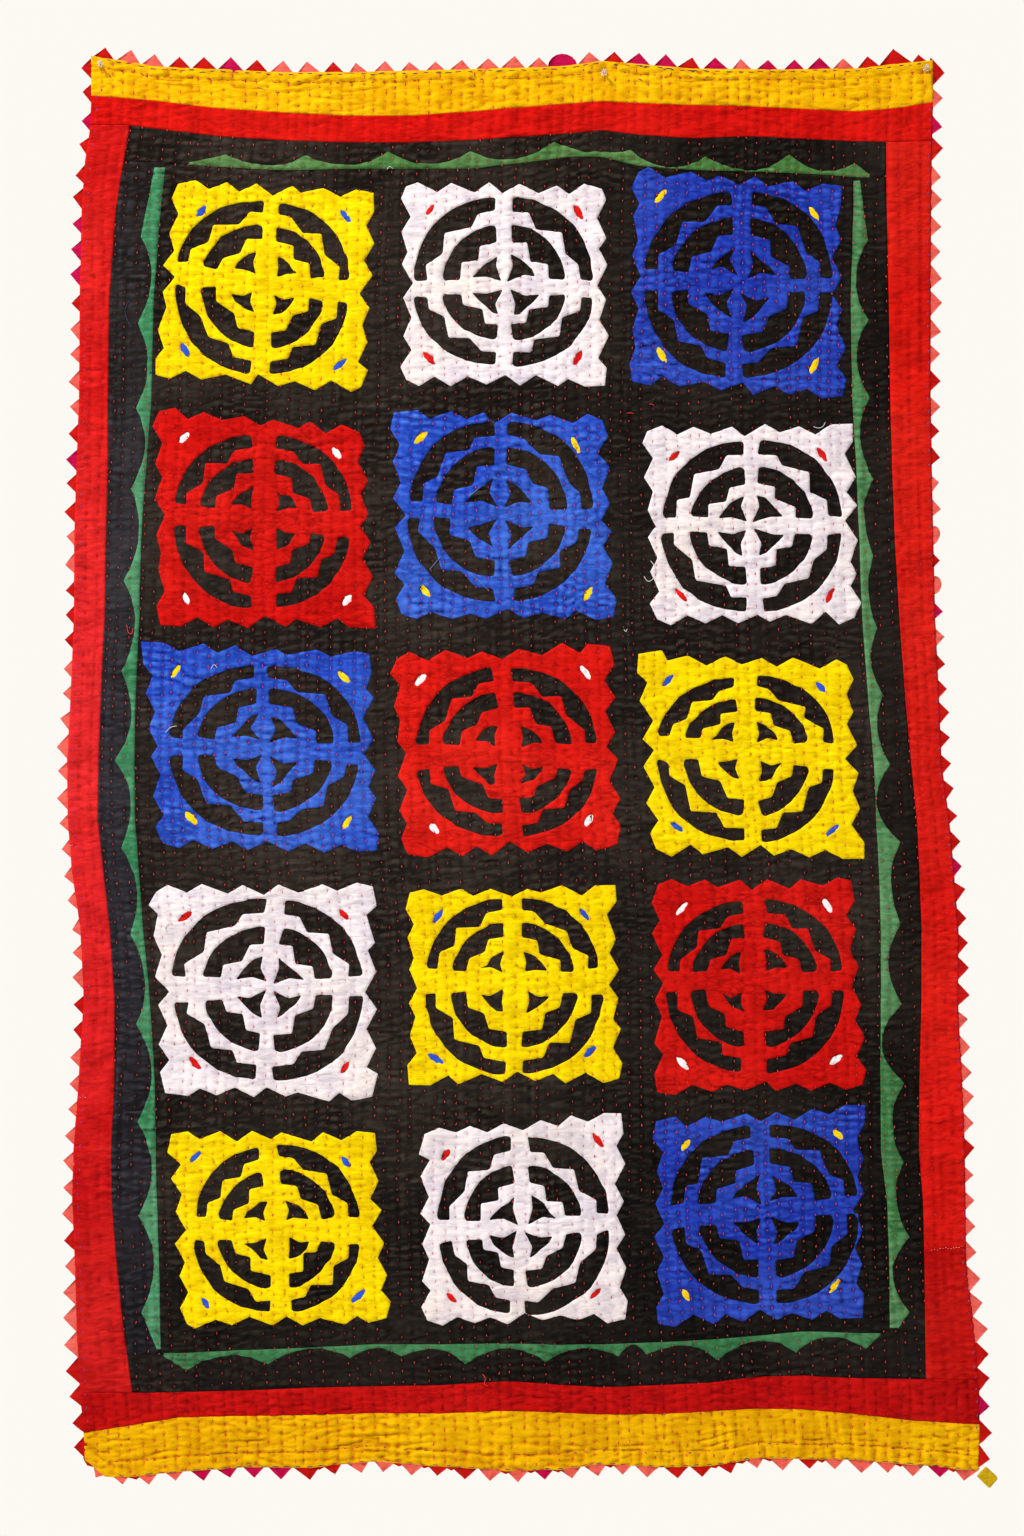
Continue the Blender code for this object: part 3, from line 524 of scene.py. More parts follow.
class Nodes:
    def __init__(self, name):
        self.material = bpy.data.materials.new(name)
        self.material.use_nodes = True
        self.tree = self.material.node_tree
        self.shader = self.tree.nodes["Principled BSDF"]
        self.coords = self.tree.nodes.new("ShaderNodeTexCoord").outputs["Object"]

    def link(self, a, b):
        self.tree.links.new(a, b)

    def put(self, socket, value):
        if isinstance(value, bpy.types.NodeSocket):
            self.link(value, socket)
        else:
            socket.default_value = value

    def math(self, kind, a, b=0.0, c=None, clamp=False):
        n = self.tree.nodes.new("ShaderNodeMath")
        n.operation, n.use_clamp = kind, clamp
        self.put(n.inputs[0], a)
        self.put(n.inputs[1], b)
        if c is not None:
            self.put(n.inputs[2], c)
        return n.outputs[0]

    def scaled(self, scale, shift=(0, 0, 0)):
        n = self.tree.nodes.new("ShaderNodeVectorMath")
        n.operation = "MULTIPLY_ADD"
        self.link(self.coords, n.inputs[0])
        n.inputs[1].default_value = scale
        n.inputs[2].default_value = shift
        return n.outputs[0]

    def noise(self, scale, detail=1.0, shift=(0, 0, 0), rough=0.5):
        n = self.tree.nodes.new("ShaderNodeTexNoise")
        self.link(self.scaled(scale, shift), n.inputs["Vector"])
        n.inputs["Scale"].default_value = 1.0
        n.inputs["Detail"].default_value = detail
        n.inputs["Roughness"].default_value = rough
        return n.outputs["Fac"]

    def span(self, value, low, high, to_low=0.0, to_high=1.0, smooth=True):
        n = self.tree.nodes.new("ShaderNodeMapRange")
        n.interpolation_type = "SMOOTHSTEP" if smooth else "LINEAR"
        self.put(n.inputs["Value"], value)
        for key, v in (("From Min", low), ("From Max", high), ("To Min", to_low), ("To Max", to_high)):
            n.inputs[key].default_value = v
        return n.outputs["Result"]

    def mix(self, share, a, b, kind="MIX"):
        n = self.tree.nodes.new("ShaderNodeMix")
        n.data_type, n.blend_type = "RGBA", kind
        self.put(n.inputs["Factor"], share)
        for socket, value in ((n.inputs["A"], a), (n.inputs["B"], b)):
            colour = [s for s in n.inputs if s.name == socket.name and s.type == "RGBA"][0]
            if isinstance(value, bpy.types.NodeSocket):
                self.link(value, colour)
            else:
                colour.default_value = (*value, 1.0)
        return [s for s in n.outputs if s.type == "RGBA"][0]

    def down_the_cloth(self, stops):
        """A colour that changes down the hung cloth: rows of (height in m, sRGB). The rows hold painted light and shade
        of the hanging as well as the cloth's own uneven colour.
        """
        height = self.tree.nodes.new("ShaderNodeSeparateXYZ")
        self.link(self.coords, height.inputs[0])
        share = self.math("ADD", self.math("MULTIPLY_ADD", height.outputs["Z"], 1 / 2.3, 1.0), self.math("MULTIPLY_ADD", self.noise((5, 5, 3), 1.0, (4, 1, 8)), 0.03, -0.015))
        ramp = self.tree.nodes.new("ShaderNodeValToRGB")
        rows = sorted(stops)
        while len(ramp.color_ramp.elements) < len(rows):
            ramp.color_ramp.elements.new(0.5)
        for element, (z, colour) in zip(ramp.color_ramp.elements, rows):
            element.position = 1.0 + z / 2.3
        for element, (z, colour) in zip(ramp.color_ramp.elements, rows):
            element.color = (*linear(colour), 1.0)
        self.link(share, ramp.inputs[0])
        return ramp.outputs[0]

    def attribute(self, name):
        n = self.tree.nodes.new("ShaderNodeAttribute")
        n.attribute_name = name
        return n.outputs["Fac"]

    def bump(self, height, distance, strength=1.0, normal=None):
        n = self.tree.nodes.new("ShaderNodeBump")
        n.inputs["Distance"].default_value = distance
        n.inputs["Strength"].default_value = strength
        self.link(height, n.inputs["Height"])
        if normal is not None:
            self.link(normal, n.inputs["Normal"])
        return n.outputs["Normal"]


def cotton(name, colour, shade, pale, rough=0.86, crease=0.5, thread=0.5, weave=1.0, specular=0.06, sheen=0.0, worn=0.3, ridge_light=0.25, drawn=0.3, down=(), shade_right_and_foot=False):
    """Woven cotton: COLOUR, its SHADE painted into the hollows and along crease lines, and its PALE tint, used for worn
    patches and as painted highlight on the ridges (all sRGB).
    The last flag paints shade to the right of the middle and towards the foot, where less light fell."""
    m = Nodes(name)
    base, dark, light = linear(colour), linear(shade), linear(pale)
    if down:
        base = m.down_the_cloth(down)
    hollow = m.attribute("hollow")
    # fine level puckers, sharp in the hollow and soft between: their ridges feed the bump, and thin lines along them
    # are painted shade
    n1 = m.noise((34, 10, 96), 1.2, (3.1, 0, 1.7))
    ridge = m.math("ABSOLUTE", m.math("SUBTRACT", n1, 0.5))
    fine = m.span(ridge, 0.0, 0.05, 1.0, 0.0)
    where = m.span(m.noise((16, 9, 30), 1.0, (7.7, 2, 0)), 0.42, 0.62)
    line_1 = m.math("MULTIPLY", fine, where)
    n2 = m.noise((15, 6, 55), 1.0, (0.3, 5, 9.1))
    ridge_2 = m.math("ABSOLUTE", m.math("SUBTRACT", n2, 0.5))
    line_2 = m.math("MULTIPLY", m.span(ridge_2, 0.0, 0.035, 1.0, 0.0), m.span(m.noise((8, 5, 15), 1.0, (1.7, 0, 4)), 0.48, 0.64))
    lines = m.math("MAXIMUM", line_1, line_2)
    # threads: uneven yarn both ways
    warp = m.noise((900, 60, 14), 1.0, (0, 0, 5))
    weft = m.noise((14, 60, 900), 1.0, (9, 0, 0))
    slub = m.math("MULTIPLY_ADD", m.math("ADD", warp, weft), 0.5, -0.5)
    mottle = m.noise((26, 26, 30), 3.0, (2, 2, 2), 0.6)
    patchy = m.noise((4.2, 4.2, 5.0), 2.0, (8, 1, 3), 0.5)
    # colour: worn patches and random mottling, then painted highlight on the ridges and painted shade in the hollows
    # and crease lines
    # mask of painted shade: the crease lines and the hollows
    painted_shade_mask = m.math("MAXIMUM", m.math("MULTIPLY", lines, drawn), m.math("MULTIPLY", m.math("MAXIMUM", hollow, 0.0), 0.85 * crease), clamp=True)
    c = m.mix(m.span(patchy, 0.35, 0.7, 0.0, worn), base, light)
    c = m.mix(m.span(mottle, 0.38, 0.66, 0.0, 0.3 * min(crease, 0.85) + 0.08), c, dark)
    # painted highlight on the ridges
    c = m.mix(m.math("MULTIPLY", m.math("MAXIMUM", m.math("MULTIPLY", hollow, -1.0), 0.0), ridge_light, clamp=True), c, light)
    c = m.mix(painted_shade_mask, c, dark)
    tone = m.math("MULTIPLY_ADD", slub, 0.55 * thread, 1.0)
    # painted shade: darker to the right of the middle and towards the foot, where less light fell
    if shade_right_and_foot:
        place = m.tree.nodes.new("ShaderNodeSeparateXYZ")
        m.link(m.coords, place.inputs[0])
        off_middle = m.math("ABSOLUTE", m.math("ADD", place.outputs["Z"], 1.1))
        right = m.math("MULTIPLY", m.span(place.outputs["X"], 0.0, 0.25, 0.0, 0.42), m.span(off_middle, 0.1, 0.45, 0.35, 1.0))
        tone = m.math("MULTIPLY", tone, m.math("SUBTRACT", 1.0, right))
        tone = m.math("MULTIPLY", tone, m.span(place.outputs["Z"], -1.95, -1.6, 0.6, 1.0))
    mul = m.tree.nodes.new("ShaderNodeVectorMath")
    mul.operation = "SCALE"
    m.link(c, mul.inputs[0])
    m.link(tone, mul.inputs["Scale"])
    m.link(mul.outputs[0], m.shader.inputs["Base Color"])
    # relief
    cloth = m.math("MULTIPLY_ADD", m.noise((45, 20, 130), 2.0, (4, 4, 4)), 1.0, m.math("MULTIPLY", ridge, 1.6))
    cloth = m.math("ADD", cloth, m.math("MULTIPLY", ridge_2, 1.4))
    normal = m.bump(cloth, 0.0016, 0.9)
    wave_x = m.tree.nodes.new("ShaderNodeTexWave")
    wave_z = m.tree.nodes.new("ShaderNodeTexWave")
    for wave, direction in ((wave_x, "X"), (wave_z, "Z")):
        wave.wave_type, wave.bands_direction, wave.wave_profile = "BANDS", direction, "SIN"
        wave.inputs["Scale"].default_value = 430.0
        wave.inputs["Distortion"].default_value = 0.6
        wave.inputs["Detail"].default_value = 0.0
        m.link(m.coords, wave.inputs["Vector"])
    woven = m.math("ADD", m.math("MAXIMUM", wave_x.outputs["Fac"], wave_z.outputs["Fac"]), m.math("MULTIPLY", slub, 2.2))
    normal = m.bump(woven, 0.00012 * weave, 0.8, normal)
    m.link(normal, m.shader.inputs["Normal"])
    m.link(m.span(mottle, 0.3, 0.7, rough - 0.07, rough + 0.07), m.shader.inputs["Roughness"])
    m.shader.inputs["Metallic"].default_value = 0.0
    m.shader.inputs["Specular IOR Level"].default_value = specular
    m.shader.inputs["Sheen Weight"].default_value = sheen
    m.shader.inputs["Sheen Roughness"].default_value = 0.5
    return m.material


def yarn(name, colour, shade, rough=0.7, sheen=0.2, twist=1400.0):
    """Sewing thread, lit and dulled by each stitch's own tone."""
    m = Nodes(name)
    tone = m.attribute("tone")
    strands = m.noise((twist, twist, twist * 0.4), 1.0)
    c = m.mix(m.math("MULTIPLY_ADD", strands, 0.25, m.math("SUBTRACT", 0.9, tone), clamp=True), linear(colour), linear(shade))
    m.link(c, m.shader.inputs["Base Color"])
    m.link(m.bump(strands, 0.0002, 0.5), m.shader.inputs["Normal"])
    m.link(m.span(strands, 0.3, 0.7, rough - 0.08, rough + 0.08), m.shader.inputs["Roughness"])
    m.shader.inputs["Sheen Weight"].default_value = sheen
    m.shader.inputs["Specular IOR Level"].default_value = 0.3
    return m.material


MATERIALS = {
    # the black face's ramp is partly the cloth's own uneven fading and partly painted light: paler around the middle
    # height, painted shade towards the top and the foot
    "black": cotton("black_cotton_cloth", (28, 24, 21), (4, 3, 3), (74, 64, 56), 0.85, 1.3, 0.9, ridge_light=1.0,
                    down=((-0.15, (21, 15, 10)), (-0.6, (26, 20, 17)), (-1.0, (31, 25, 22)), (-1.35, (31, 25, 22)), (-1.6, (20, 16, 13)), (-1.85, (13, 11, 9)), (-2.0, (11, 9, 7))), shade_right_and_foot=True),
    # the same black cloth darkened as painted shade for the right and lower borders, where less light fell
    "black_in_painted_shade": cotton("black_cotton_cloth_in_painted_shade", (18, 14, 12), (4, 3, 2), (56, 47, 41), 0.85, 1.2, 0.9, ridge_light=0.8,
                         down=((-0.15, (12, 7, 4)), (-0.7, (18, 14, 11)), (-1.5, (17, 13, 10)), (-2.0, (11, 8, 7)))),
    # the left border's black cloth with a painted cool sheen, paler and bluer around the middle height, and painted
    # shade towards the foot
    "black_with_painted_sheen": cotton("black_cotton_cloth_with_painted_sheen", (28, 27, 32), (6, 6, 8), (70, 68, 76), 0.85, 1.2, 0.9, ridge_light=0.9,
                   down=((-0.1, (28, 22, 18)), (-0.45, (33, 29, 26)), (-0.8, (36, 33, 34)), (-1.25, (38, 37, 43)), (-1.5, (30, 27, 30)), (-1.9, (18, 16, 16))), shade_right_and_foot=True),
    "red": cotton("red_cotton_cloth", (200, 10, 5), (122, 2, 2), (226, 36, 22), 0.84, 0.75, 0.3, specular=0.05, drawn=0.4),
    "square_red": cotton("square_red_cotton_cloth", (198, 12, 8), (112, 2, 2), (226, 40, 28), 0.84, 1.15, 0.3, specular=0.05, drawn=0.55),
    "bright_red": cotton("bright_red_cotton_cloth", (211, 20, 12), (124, 4, 3), (236, 52, 36), 0.84, 1.15, 0.3, specular=0.05, drawn=0.55),
    # a darker copy of the red for the lower strip: painted shade, where less light fell towards the foot
    "red_in_painted_shade": cotton("red_cotton_cloth_in_painted_shade", (184, 8, 8), (104, 2, 4), (208, 30, 24), 0.84, 0.95, 0.3, specular=0.05, drawn=0.5),
    # the left red strip: a paler, pinker band of painted light around the middle height and painted shade towards the
    # foot
    "rose": cotton("rose_red_cotton_cloth", (206, 18, 19), (128, 4, 6), (228, 48, 42), 0.84, 0.9, 0.3, specular=0.05,
                   down=((-0.15, (196, 18, 14)), (-0.55, (205, 22, 20)), (-0.92, (218, 38, 42)), (-1.35, (210, 30, 32)), (-1.546, (204, 22, 24)), (-1.55, (194, 14, 16)), (-1.9, (180, 12, 14)))),
    # the right red strip: darker at the top as painted shade, where less light fell
    "side_red": cotton("side_red_cotton_cloth", (212, 20, 11), (134, 4, 3), (234, 48, 32), 0.84, 0.9, 0.3, specular=0.05, drawn=0.4,
                       down=((-0.15, (190, 12, 5)), (-0.47, (208, 19, 9)), (-0.92, (196, 17, 12)), (-1.5, (214, 21, 14)), (-1.772, (206, 19, 12)), (-1.776, (178, 10, 9)))),
    "band": cotton("golden_cotton_cloth", (233, 174, 0), (172, 92, 0), (250, 204, 8), 0.84, 0.95, 0.25, specular=0.04, drawn=0.1,
                   down=((-0.02, (232, 173, 0)), (-2.05, (226, 168, 0)))),
    "yellow": cotton("yellow_cotton_cloth", (243, 213, 0), (190, 138, 0), (254, 228, 10), 0.84, 1.25, 0.25, specular=0.04, drawn=0.35),
    "white": cotton("white_cotton_cloth", (237, 226, 229), (160, 150, 176), (240, 226, 214), 0.86, 0.85, 0.2, specular=0.05, worn=0.75, drawn=0.3, ridge_light=0.0),
    "blue": cotton("blue_cotton_cloth", (26, 48, 162), (6, 14, 78), (74, 112, 220), 0.82, 1.5, 0.4, ridge_light=0.7, drawn=0.45),
    "light_blue": cotton("light_blue_cotton_cloth", (32, 67, 184), (10, 26, 104), (92, 142, 236), 0.82, 1.5, 0.4, ridge_light=0.7, drawn=0.45),
    "green_top": cotton("olive_green_cotton_cloth", (60, 108, 50), (24, 56, 20), (128, 166, 106), 0.84, 1.1, 0.7, ridge_light=0.6, worn=0.4),
    "green_right": cotton("leaf_green_cotton_cloth", (58, 114, 64), (20, 58, 26), (126, 172, 122), 0.84, 1.1, 0.7, ridge_light=0.6, worn=0.4),
    "green_left": cotton("blue_green_cotton_cloth", (52, 124, 80), (16, 64, 40), (118, 178, 136), 0.84, 1.1, 0.7, ridge_light=0.6, worn=0.4),
    "green_bottom": cotton("deep_green_cotton_cloth", (42, 106, 62), (14, 52, 26), (96, 150, 102), 0.84, 1.0, 0.7, ridge_light=0.5, worn=0.35),
    "back": cotton("plain_backing_cloth", (38, 34, 32), (12, 11, 10), (74, 67, 62), 0.9, 1.0, 0.8, ridge_light=0.8),
    "point_red": cotton("edging_red_cloth", (186, 14, 10), (120, 3, 3), (208, 34, 26), 0.8, 0.3, 0.4),
    "point_coral": cotton("edging_coral_cloth", (226, 92, 80), (180, 52, 46), (238, 118, 104), 0.8, 0.3, 0.4),
    "point_magenta": cotton("edging_magenta_cloth", (184, 4, 66), (124, 1, 42), (206, 24, 88), 0.8, 0.3, 0.4),
    "leaf_blue": cotton("inset_blue_cloth", (40, 80, 196), (20, 46, 132), (70, 110, 220), 0.84, 0.3, 0.5),
    "leaf_red": cotton("inset_red_cloth", (206, 20, 16), (146, 4, 4), (226, 46, 38), 0.84, 0.3, 0.5),
    "leaf_yellow": cotton("inset_yellow_cloth", (248, 206, 6), (206, 156, 0), (253, 226, 40), 0.84, 0.3, 0.5),
    "leaf_white": cotton("inset_white_cloth", (240, 236, 236), (196, 190, 200), (250, 248, 248), 0.84, 0.3, 0.5),
    "olive": cotton("olive_tab_cloth", (200, 164, 14), (146, 112, 4), (216, 186, 40), 0.8, 0.4, 0.9),
    "thread_red": yarn("red_thread", (240, 44, 26), (158, 18, 6)),
    "thread_navy": yarn("navy_thread", (34, 34, 88), (14, 14, 40)),
    "thread_violet": yarn("violet_thread", (92, 60, 168), (60, 30, 110)),
    "thread_white": yarn("white_thread", (226, 224, 220), (150, 150, 150)),
    "thread_pale": yarn("pale_blue_thread", (104, 150, 200), (50, 84, 130)),
    "thread_grey": yarn("grey_seam_thread", (134, 130, 126), (84, 80, 78)),
    "thread_coral": yarn("coral_sewing_thread", (246, 176, 160), (206, 96, 84)),
}


# ------------------------------------------------------------- sewn-on strips
STRIPS = {       # upper, lower, left and right line, which edges are hems (u l L R), cloth
    "yellow_band_top": (head("hem"), head("yellow"), side("hem_l"), side("hem_r"), "uLR", "band"),
    "red_strip_top": (head("yellow"), head("seam"), side("hem_l"), side("hem_r"), "LR", "red"),
    "red_strip_left": (head("seam"), foot("seam"), side("hem_l"), side("seam_l"), "L", "rose"),
    "red_strip_right": (head("seam"), foot("seam"), side("seam_r"), side("hem_r"), "R", "side_red"),
    "red_strip_bottom": (foot("seam"), foot("yellow"), side("hem_l"), side("hem_r"), "LR", "red_in_painted_shade"),
    "yellow_band_bottom": (foot("yellow"), foot("hem"), side("hem_l"), side("hem_r"), "lLR", "band"),
    "black_border_top": (head("seam"), head("green"), side("seam_l"), side("seam_r"), "", "black"),
    "black_border_left": (head("green"), foot("green"), side("seam_l"), side("green_l"), "", "black_with_painted_sheen"),
    "black_border_right": (head("green"), foot("green"), side("green_r"), side("seam_r"), "", "black_in_painted_shade"),
    "black_border_bottom": (foot("green"), foot("seam"), side("seam_l"), side("seam_r"), "", "black_in_painted_shade"),
}
STRIP_STEPS = {"band": (4.0, 2.2), "red": (4.3, 3.1), "red_in_painted_shade": (4.3, 2.8), "rose": (4.3, 3.1), "side_red": (4.3, 3.1), "black": (5.0, 3.2), "black_in_painted_shade": (5.0, 3.2), "black_with_painted_sheen": (5.0, 3.2)}
strip_cover = np.zeros(GX.shape, np.float32)
for name, (upper, lower, left, right, hems, cloth) in STRIPS.items():
    x, z, dl, dr, du, dd = patch(upper, lower, left, right, *STRIP_STEPS[cloth])
    height = np.full(x.shape, CLOTH)
    for d, key in ((dl, "L"), (dr, "R"), (du, "u"), (dd, "l")):
        if key in hems:
            height = np.minimum(height, -1.9 + (1.9 + CLOTH) * rolled(d, 3.2))
        else:
            height = np.minimum(height, 0.15 + (CLOTH - 0.15) * rolled(d, 1.8))
    points = on_quilt(x, z, height).reshape(-1, 3)
    piece(name + "_cloth", points, grid_faces(*x.shape), MATERIALS[cloth], values={"hollow": hollow_at(x, z).ravel()})
    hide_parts(name)
    wide, tall = float(x.max() - x.min()), float(z.max() - z.min())
    inside = (GX > left(GZ)) & (GX < right(GZ)) & (GZ < upper(GX)) & (GZ > lower(GX))
    strip_cover[inside] = CLOTH


# ------------------------------------------------------- outlines of the cuts
def resampled(loop, step):
    """The closed loop with points added so that no stretch is longer than STEP."""
    p = np.array(loop, float)
    out = []
    for a, b in zip(p, np.roll(p, -1, 0)):
        n = max(1, int(math.ceil(np.hypot(*(b - a)) / step)))
        out += [a + (b - a) * k / n for k in range(n)]
    return np.array(out)


def softened(loop, amount):
    """Each sharp corner of a closed loop cut a little, as turned cloth does."""
    p = np.array(loop, float)
    out = []
    for i in range(len(p)):
        a, b, c = p[i - 1], p[i], p[(i + 1) % len(p)]
        la, lc = np.hypot(*(a - b)), np.hypot(*(c - b))
        ca, cc = min(amount, la * 0.35), min(amount, lc * 0.35)
        out.append(b + (a - b) / la * ca)
        out.append(b + (c - b) / lc * cc)
    return np.array(out)


def shaken(loop, rng, amount):
    p = np.array(loop, float)
    return p + rng.normal(0, amount, p.shape)


def square_point(row, u, v):
    tl, tr, br, bl = (np.array(row[i:i + 2], float) for i in (2, 4, 6, 8))
    s, t = (u + 1) / 2, (v + 1) / 2
    return (tl * (1 - s) + tr * s) * t + (bl * (1 - s) + br * s) * (1 - t)


def pinked(row, rng):
    corners = [np.array(row[i:i + 2], float) for i in (2, 4, 6, 8)]
    middle = sum(corners) / 4
    loop = []
    for i in range(4):
        a, b = corners[i], corners[(i + 1) % 4]
        length = np.hypot(*(b - a))
        run = (b - a) / length
        inwards = np.array((run[1], -run[0]))
        if inwards @ (middle - a) < 0:
            inwards = -inwards
        deep = rng.uniform(0.88, 1.12)
        cut = rng.choice(CORNER_CUTS) + rng.normal(0, 1.0)
        loop.append(a + (middle - a) / np.hypot(*(middle - a)) * (cut - 3.0) * 1.41)
        for place, depth in SIDE_TEETH:
            ear = depth < 1
            s = place + rng.normal(0, 0.012)
            d = depth * (deep if depth > 5 else 1) + rng.normal(0, 1.3 if ear else 1.6)
            loop.append(a + run * length * s + inwards * (max(d, -2.5) - 3.0))
    return softened(loop, 0.7)


def ring_cuts(row, rng):
    """The cut-outs of a square: outer and middle ring and bird's foot in each quarter."""
    middle = np.array(row[10:12], float)
    reach = dict(zip(("left", "right", "up", "down"), row[12:16]))
    spoke = dict(zip(SPOKE_COLUMNS, SPOKES[row[0]]))
    narrower, outside, tooth, notch = RINGS[row[1]]
    cuts = []
    for sx, sz in ((1, 1), (-1, 1), (-1, -1), (1, -1)):
        level, upright = ("right" if sx > 0 else "left"), ("up" if sz > 0 else "down")
        rx, rz = reach[level] + rng.normal(0, 1.0), reach[upright] + rng.normal(0, 1.0)
        shift = rng.normal(0, 1.0, 2)

        def at(radius, degrees, square=1.0):
            a = math.radians(degrees)
            bulge = 1 + 0.035 * math.sin(2 * a) ** 2 * square
            return (rx * radius * bulge * math.cos(a), rz * radius * bulge * math.sin(a))

        def ends(radius, taper=1.0):
            up_edge = sx * spoke[upright + "_at"] * radius + taper * spoke[upright] / 2 + rng.normal(0, 1.0)
            side_edge = sz * spoke[level + "_at"] * radius + taper * spoke[level] / 2 + rng.normal(0, 1.0)
            low = math.degrees(math.asin(max(0.01, side_edge) / (rz * radius)))
            high = 90 - math.degrees(math.asin(max(0.01, up_edge) / (rx * radius)))
            return low, high

        def between(low, high, degrees):
            """A step's angle, brought closer where the spokes leave less room."""
            return low + (high - low) * (degrees - 9) / 73

        loops = []
        low, high = ends(0.98)
        arc = [at(0.985, low)] + [at(1.0, low + 2.5 + (high - low - 5) * k / 13) for k in range(14)] + [at(0.985, high)]
        low, high = ends(0.85)
        back = [at(0.835 + narrower, high)]
        back += [at(r + narrower + rng.normal(0, 0.010), between(low, high, d + rng.normal(0, 1.6)), 0.3) for d, r in OUTER_STEPS[::-1]]
        back += [at(0.85 + narrower, low)]
        loops.append(arc + back)
        low, high = ends(outside - 0.02, 0.92)
        arc = [at(outside - 0.02, low)] + [at(outside, low + 4 + (high - low - 8) * k / 9, 0.4) for k in range(10)] + [at(outside - 0.02, high)]
        low, high = ends(tooth - 0.01, 0.88)
        steps = ((26, tooth), (46, notch), (62, tooth))
        back = [at(tooth - 0.035, high)]
        back += [at(r + rng.normal(0, 0.010), between(low, high, d + rng.normal(0, 2.0)), 0) for d, r in steps[::-1]]
        back += [at(tooth - 0.03, low)]
        loops.append(arc + back)
        toe = np.array(FEET[row[1]], float)
        lean = np.array((sx * spoke[upright + "_at"], sz * spoke[level + "_at"])) * 0.30
        loops.append(toe + lean * (0.6 if row[1] in ("yellow", "red") else 0.3) + rng.normal(0, 1.3, 2))
        for n, loop in enumerate(loops):
            p = np.array(loop, float) + shift
            p = p + rng.normal(0, 0.7 if n < 2 else 1.4, p.shape)
            p = np.maximum(p + 1.8, (1.2, 1.2)) if n == 2 else p
            p = p * (sx, sz)
            if sx * sz < 0:
                p = p[::-1]
            cuts.append(softened(middle + p, 1.9))
    return cuts


def leaf(centre, long, wide, turn, rng):
    """A pointed leaf, LONG by WIDE, its length at TURN degrees."""
    out = []
    for k in range(16):
        a = 2 * math.pi * k / 16
        r = abs(math.cos(a)) ** 1.4
        u = math.cos(a) * (0.75 + 0.25 * r) * long / 2
        v = math.sin(a) * wide / 2
        out.append((u, v))
    p = np.array(out) + rng.normal(0, 0.45, (16, 2))
    c, s = math.cos(math.radians(turn)), math.sin(math.radians(turn))
    return np.array(centre) + p @ np.array(((c, s), (-s, c)))


def leaf_insets(row, rng):
    middle = np.array(row[10:12], float)
    found = []
    for sx, sz in ((-1, 1), (1, 1), (1, -1), (-1, -1)):
        corner = square_point(row, sx, sz)
        centre = middle + (corner - middle) * rng.uniform(0.70, 0.76)
        found.append(leaf(centre, rng.uniform(18, 27), rng.uniform(7.2, 9.8), 52 * sx * -sz + rng.normal(0, 7), rng))
    return found


def edges_of(loops):
    a = np.concatenate(loops)
    b = np.concatenate([np.roll(q, -1, 0) for q in loops])
    return a, b


def bands(p, a, b, reach, size=160):
    """Points in order of height, a few at a time, each time with the edges near them."""
    order = np.argsort(p[:, 1])
    low, high = np.minimum(a[:, 1], b[:, 1]), np.maximum(a[:, 1], b[:, 1])
    for k in range(0, len(order), size):
        i = order[k:k + size]
        near = (high >= p[i[0], 1] - reach) & (low <= p[i[-1], 1] + reach)
        yield i, a[near], b[near]


def inside_loops(p, loops):
    """Even-odd test of points P against closed loops."""
    odd = np.zeros(len(p), bool)
    for i, a, b in bands(p, *edges_of(loops), 0.01):
        x, z = p[i, 0][:, None], p[i, 1][:, None]
        rise = np.where(a[:, 1] == b[:, 1], 1e-9, b[:, 1] - a[:, 1])
        hit = ((a[:, 1] > z) != (b[:, 1] > z)) & (x < a[:, 0] + (z - a[:, 1]) / rise * (b[:, 0] - a[:, 0]))
        odd[i] = hit.sum(1) % 2 == 1
    return odd


def edge_distance(p, loops):
    """Distance of points P to the nearest edge of the loops, up to 5 mm."""
    out = np.full(len(p), 5.0)
    for i, a, b in bands(p, *edges_of(loops), 5.0):
        if not len(a):
            continue
        ab = b - a
        q = p[i][:, None, :]
        t = np.clip(((q - a) * ab).sum(2) / ((ab * ab).sum(1) + 1e-12), 0, 1)
        out[i] = np.minimum(5.0, np.sqrt((((a + ab * t[..., None]) - q) ** 2).sum(2)).min(1))
    return out


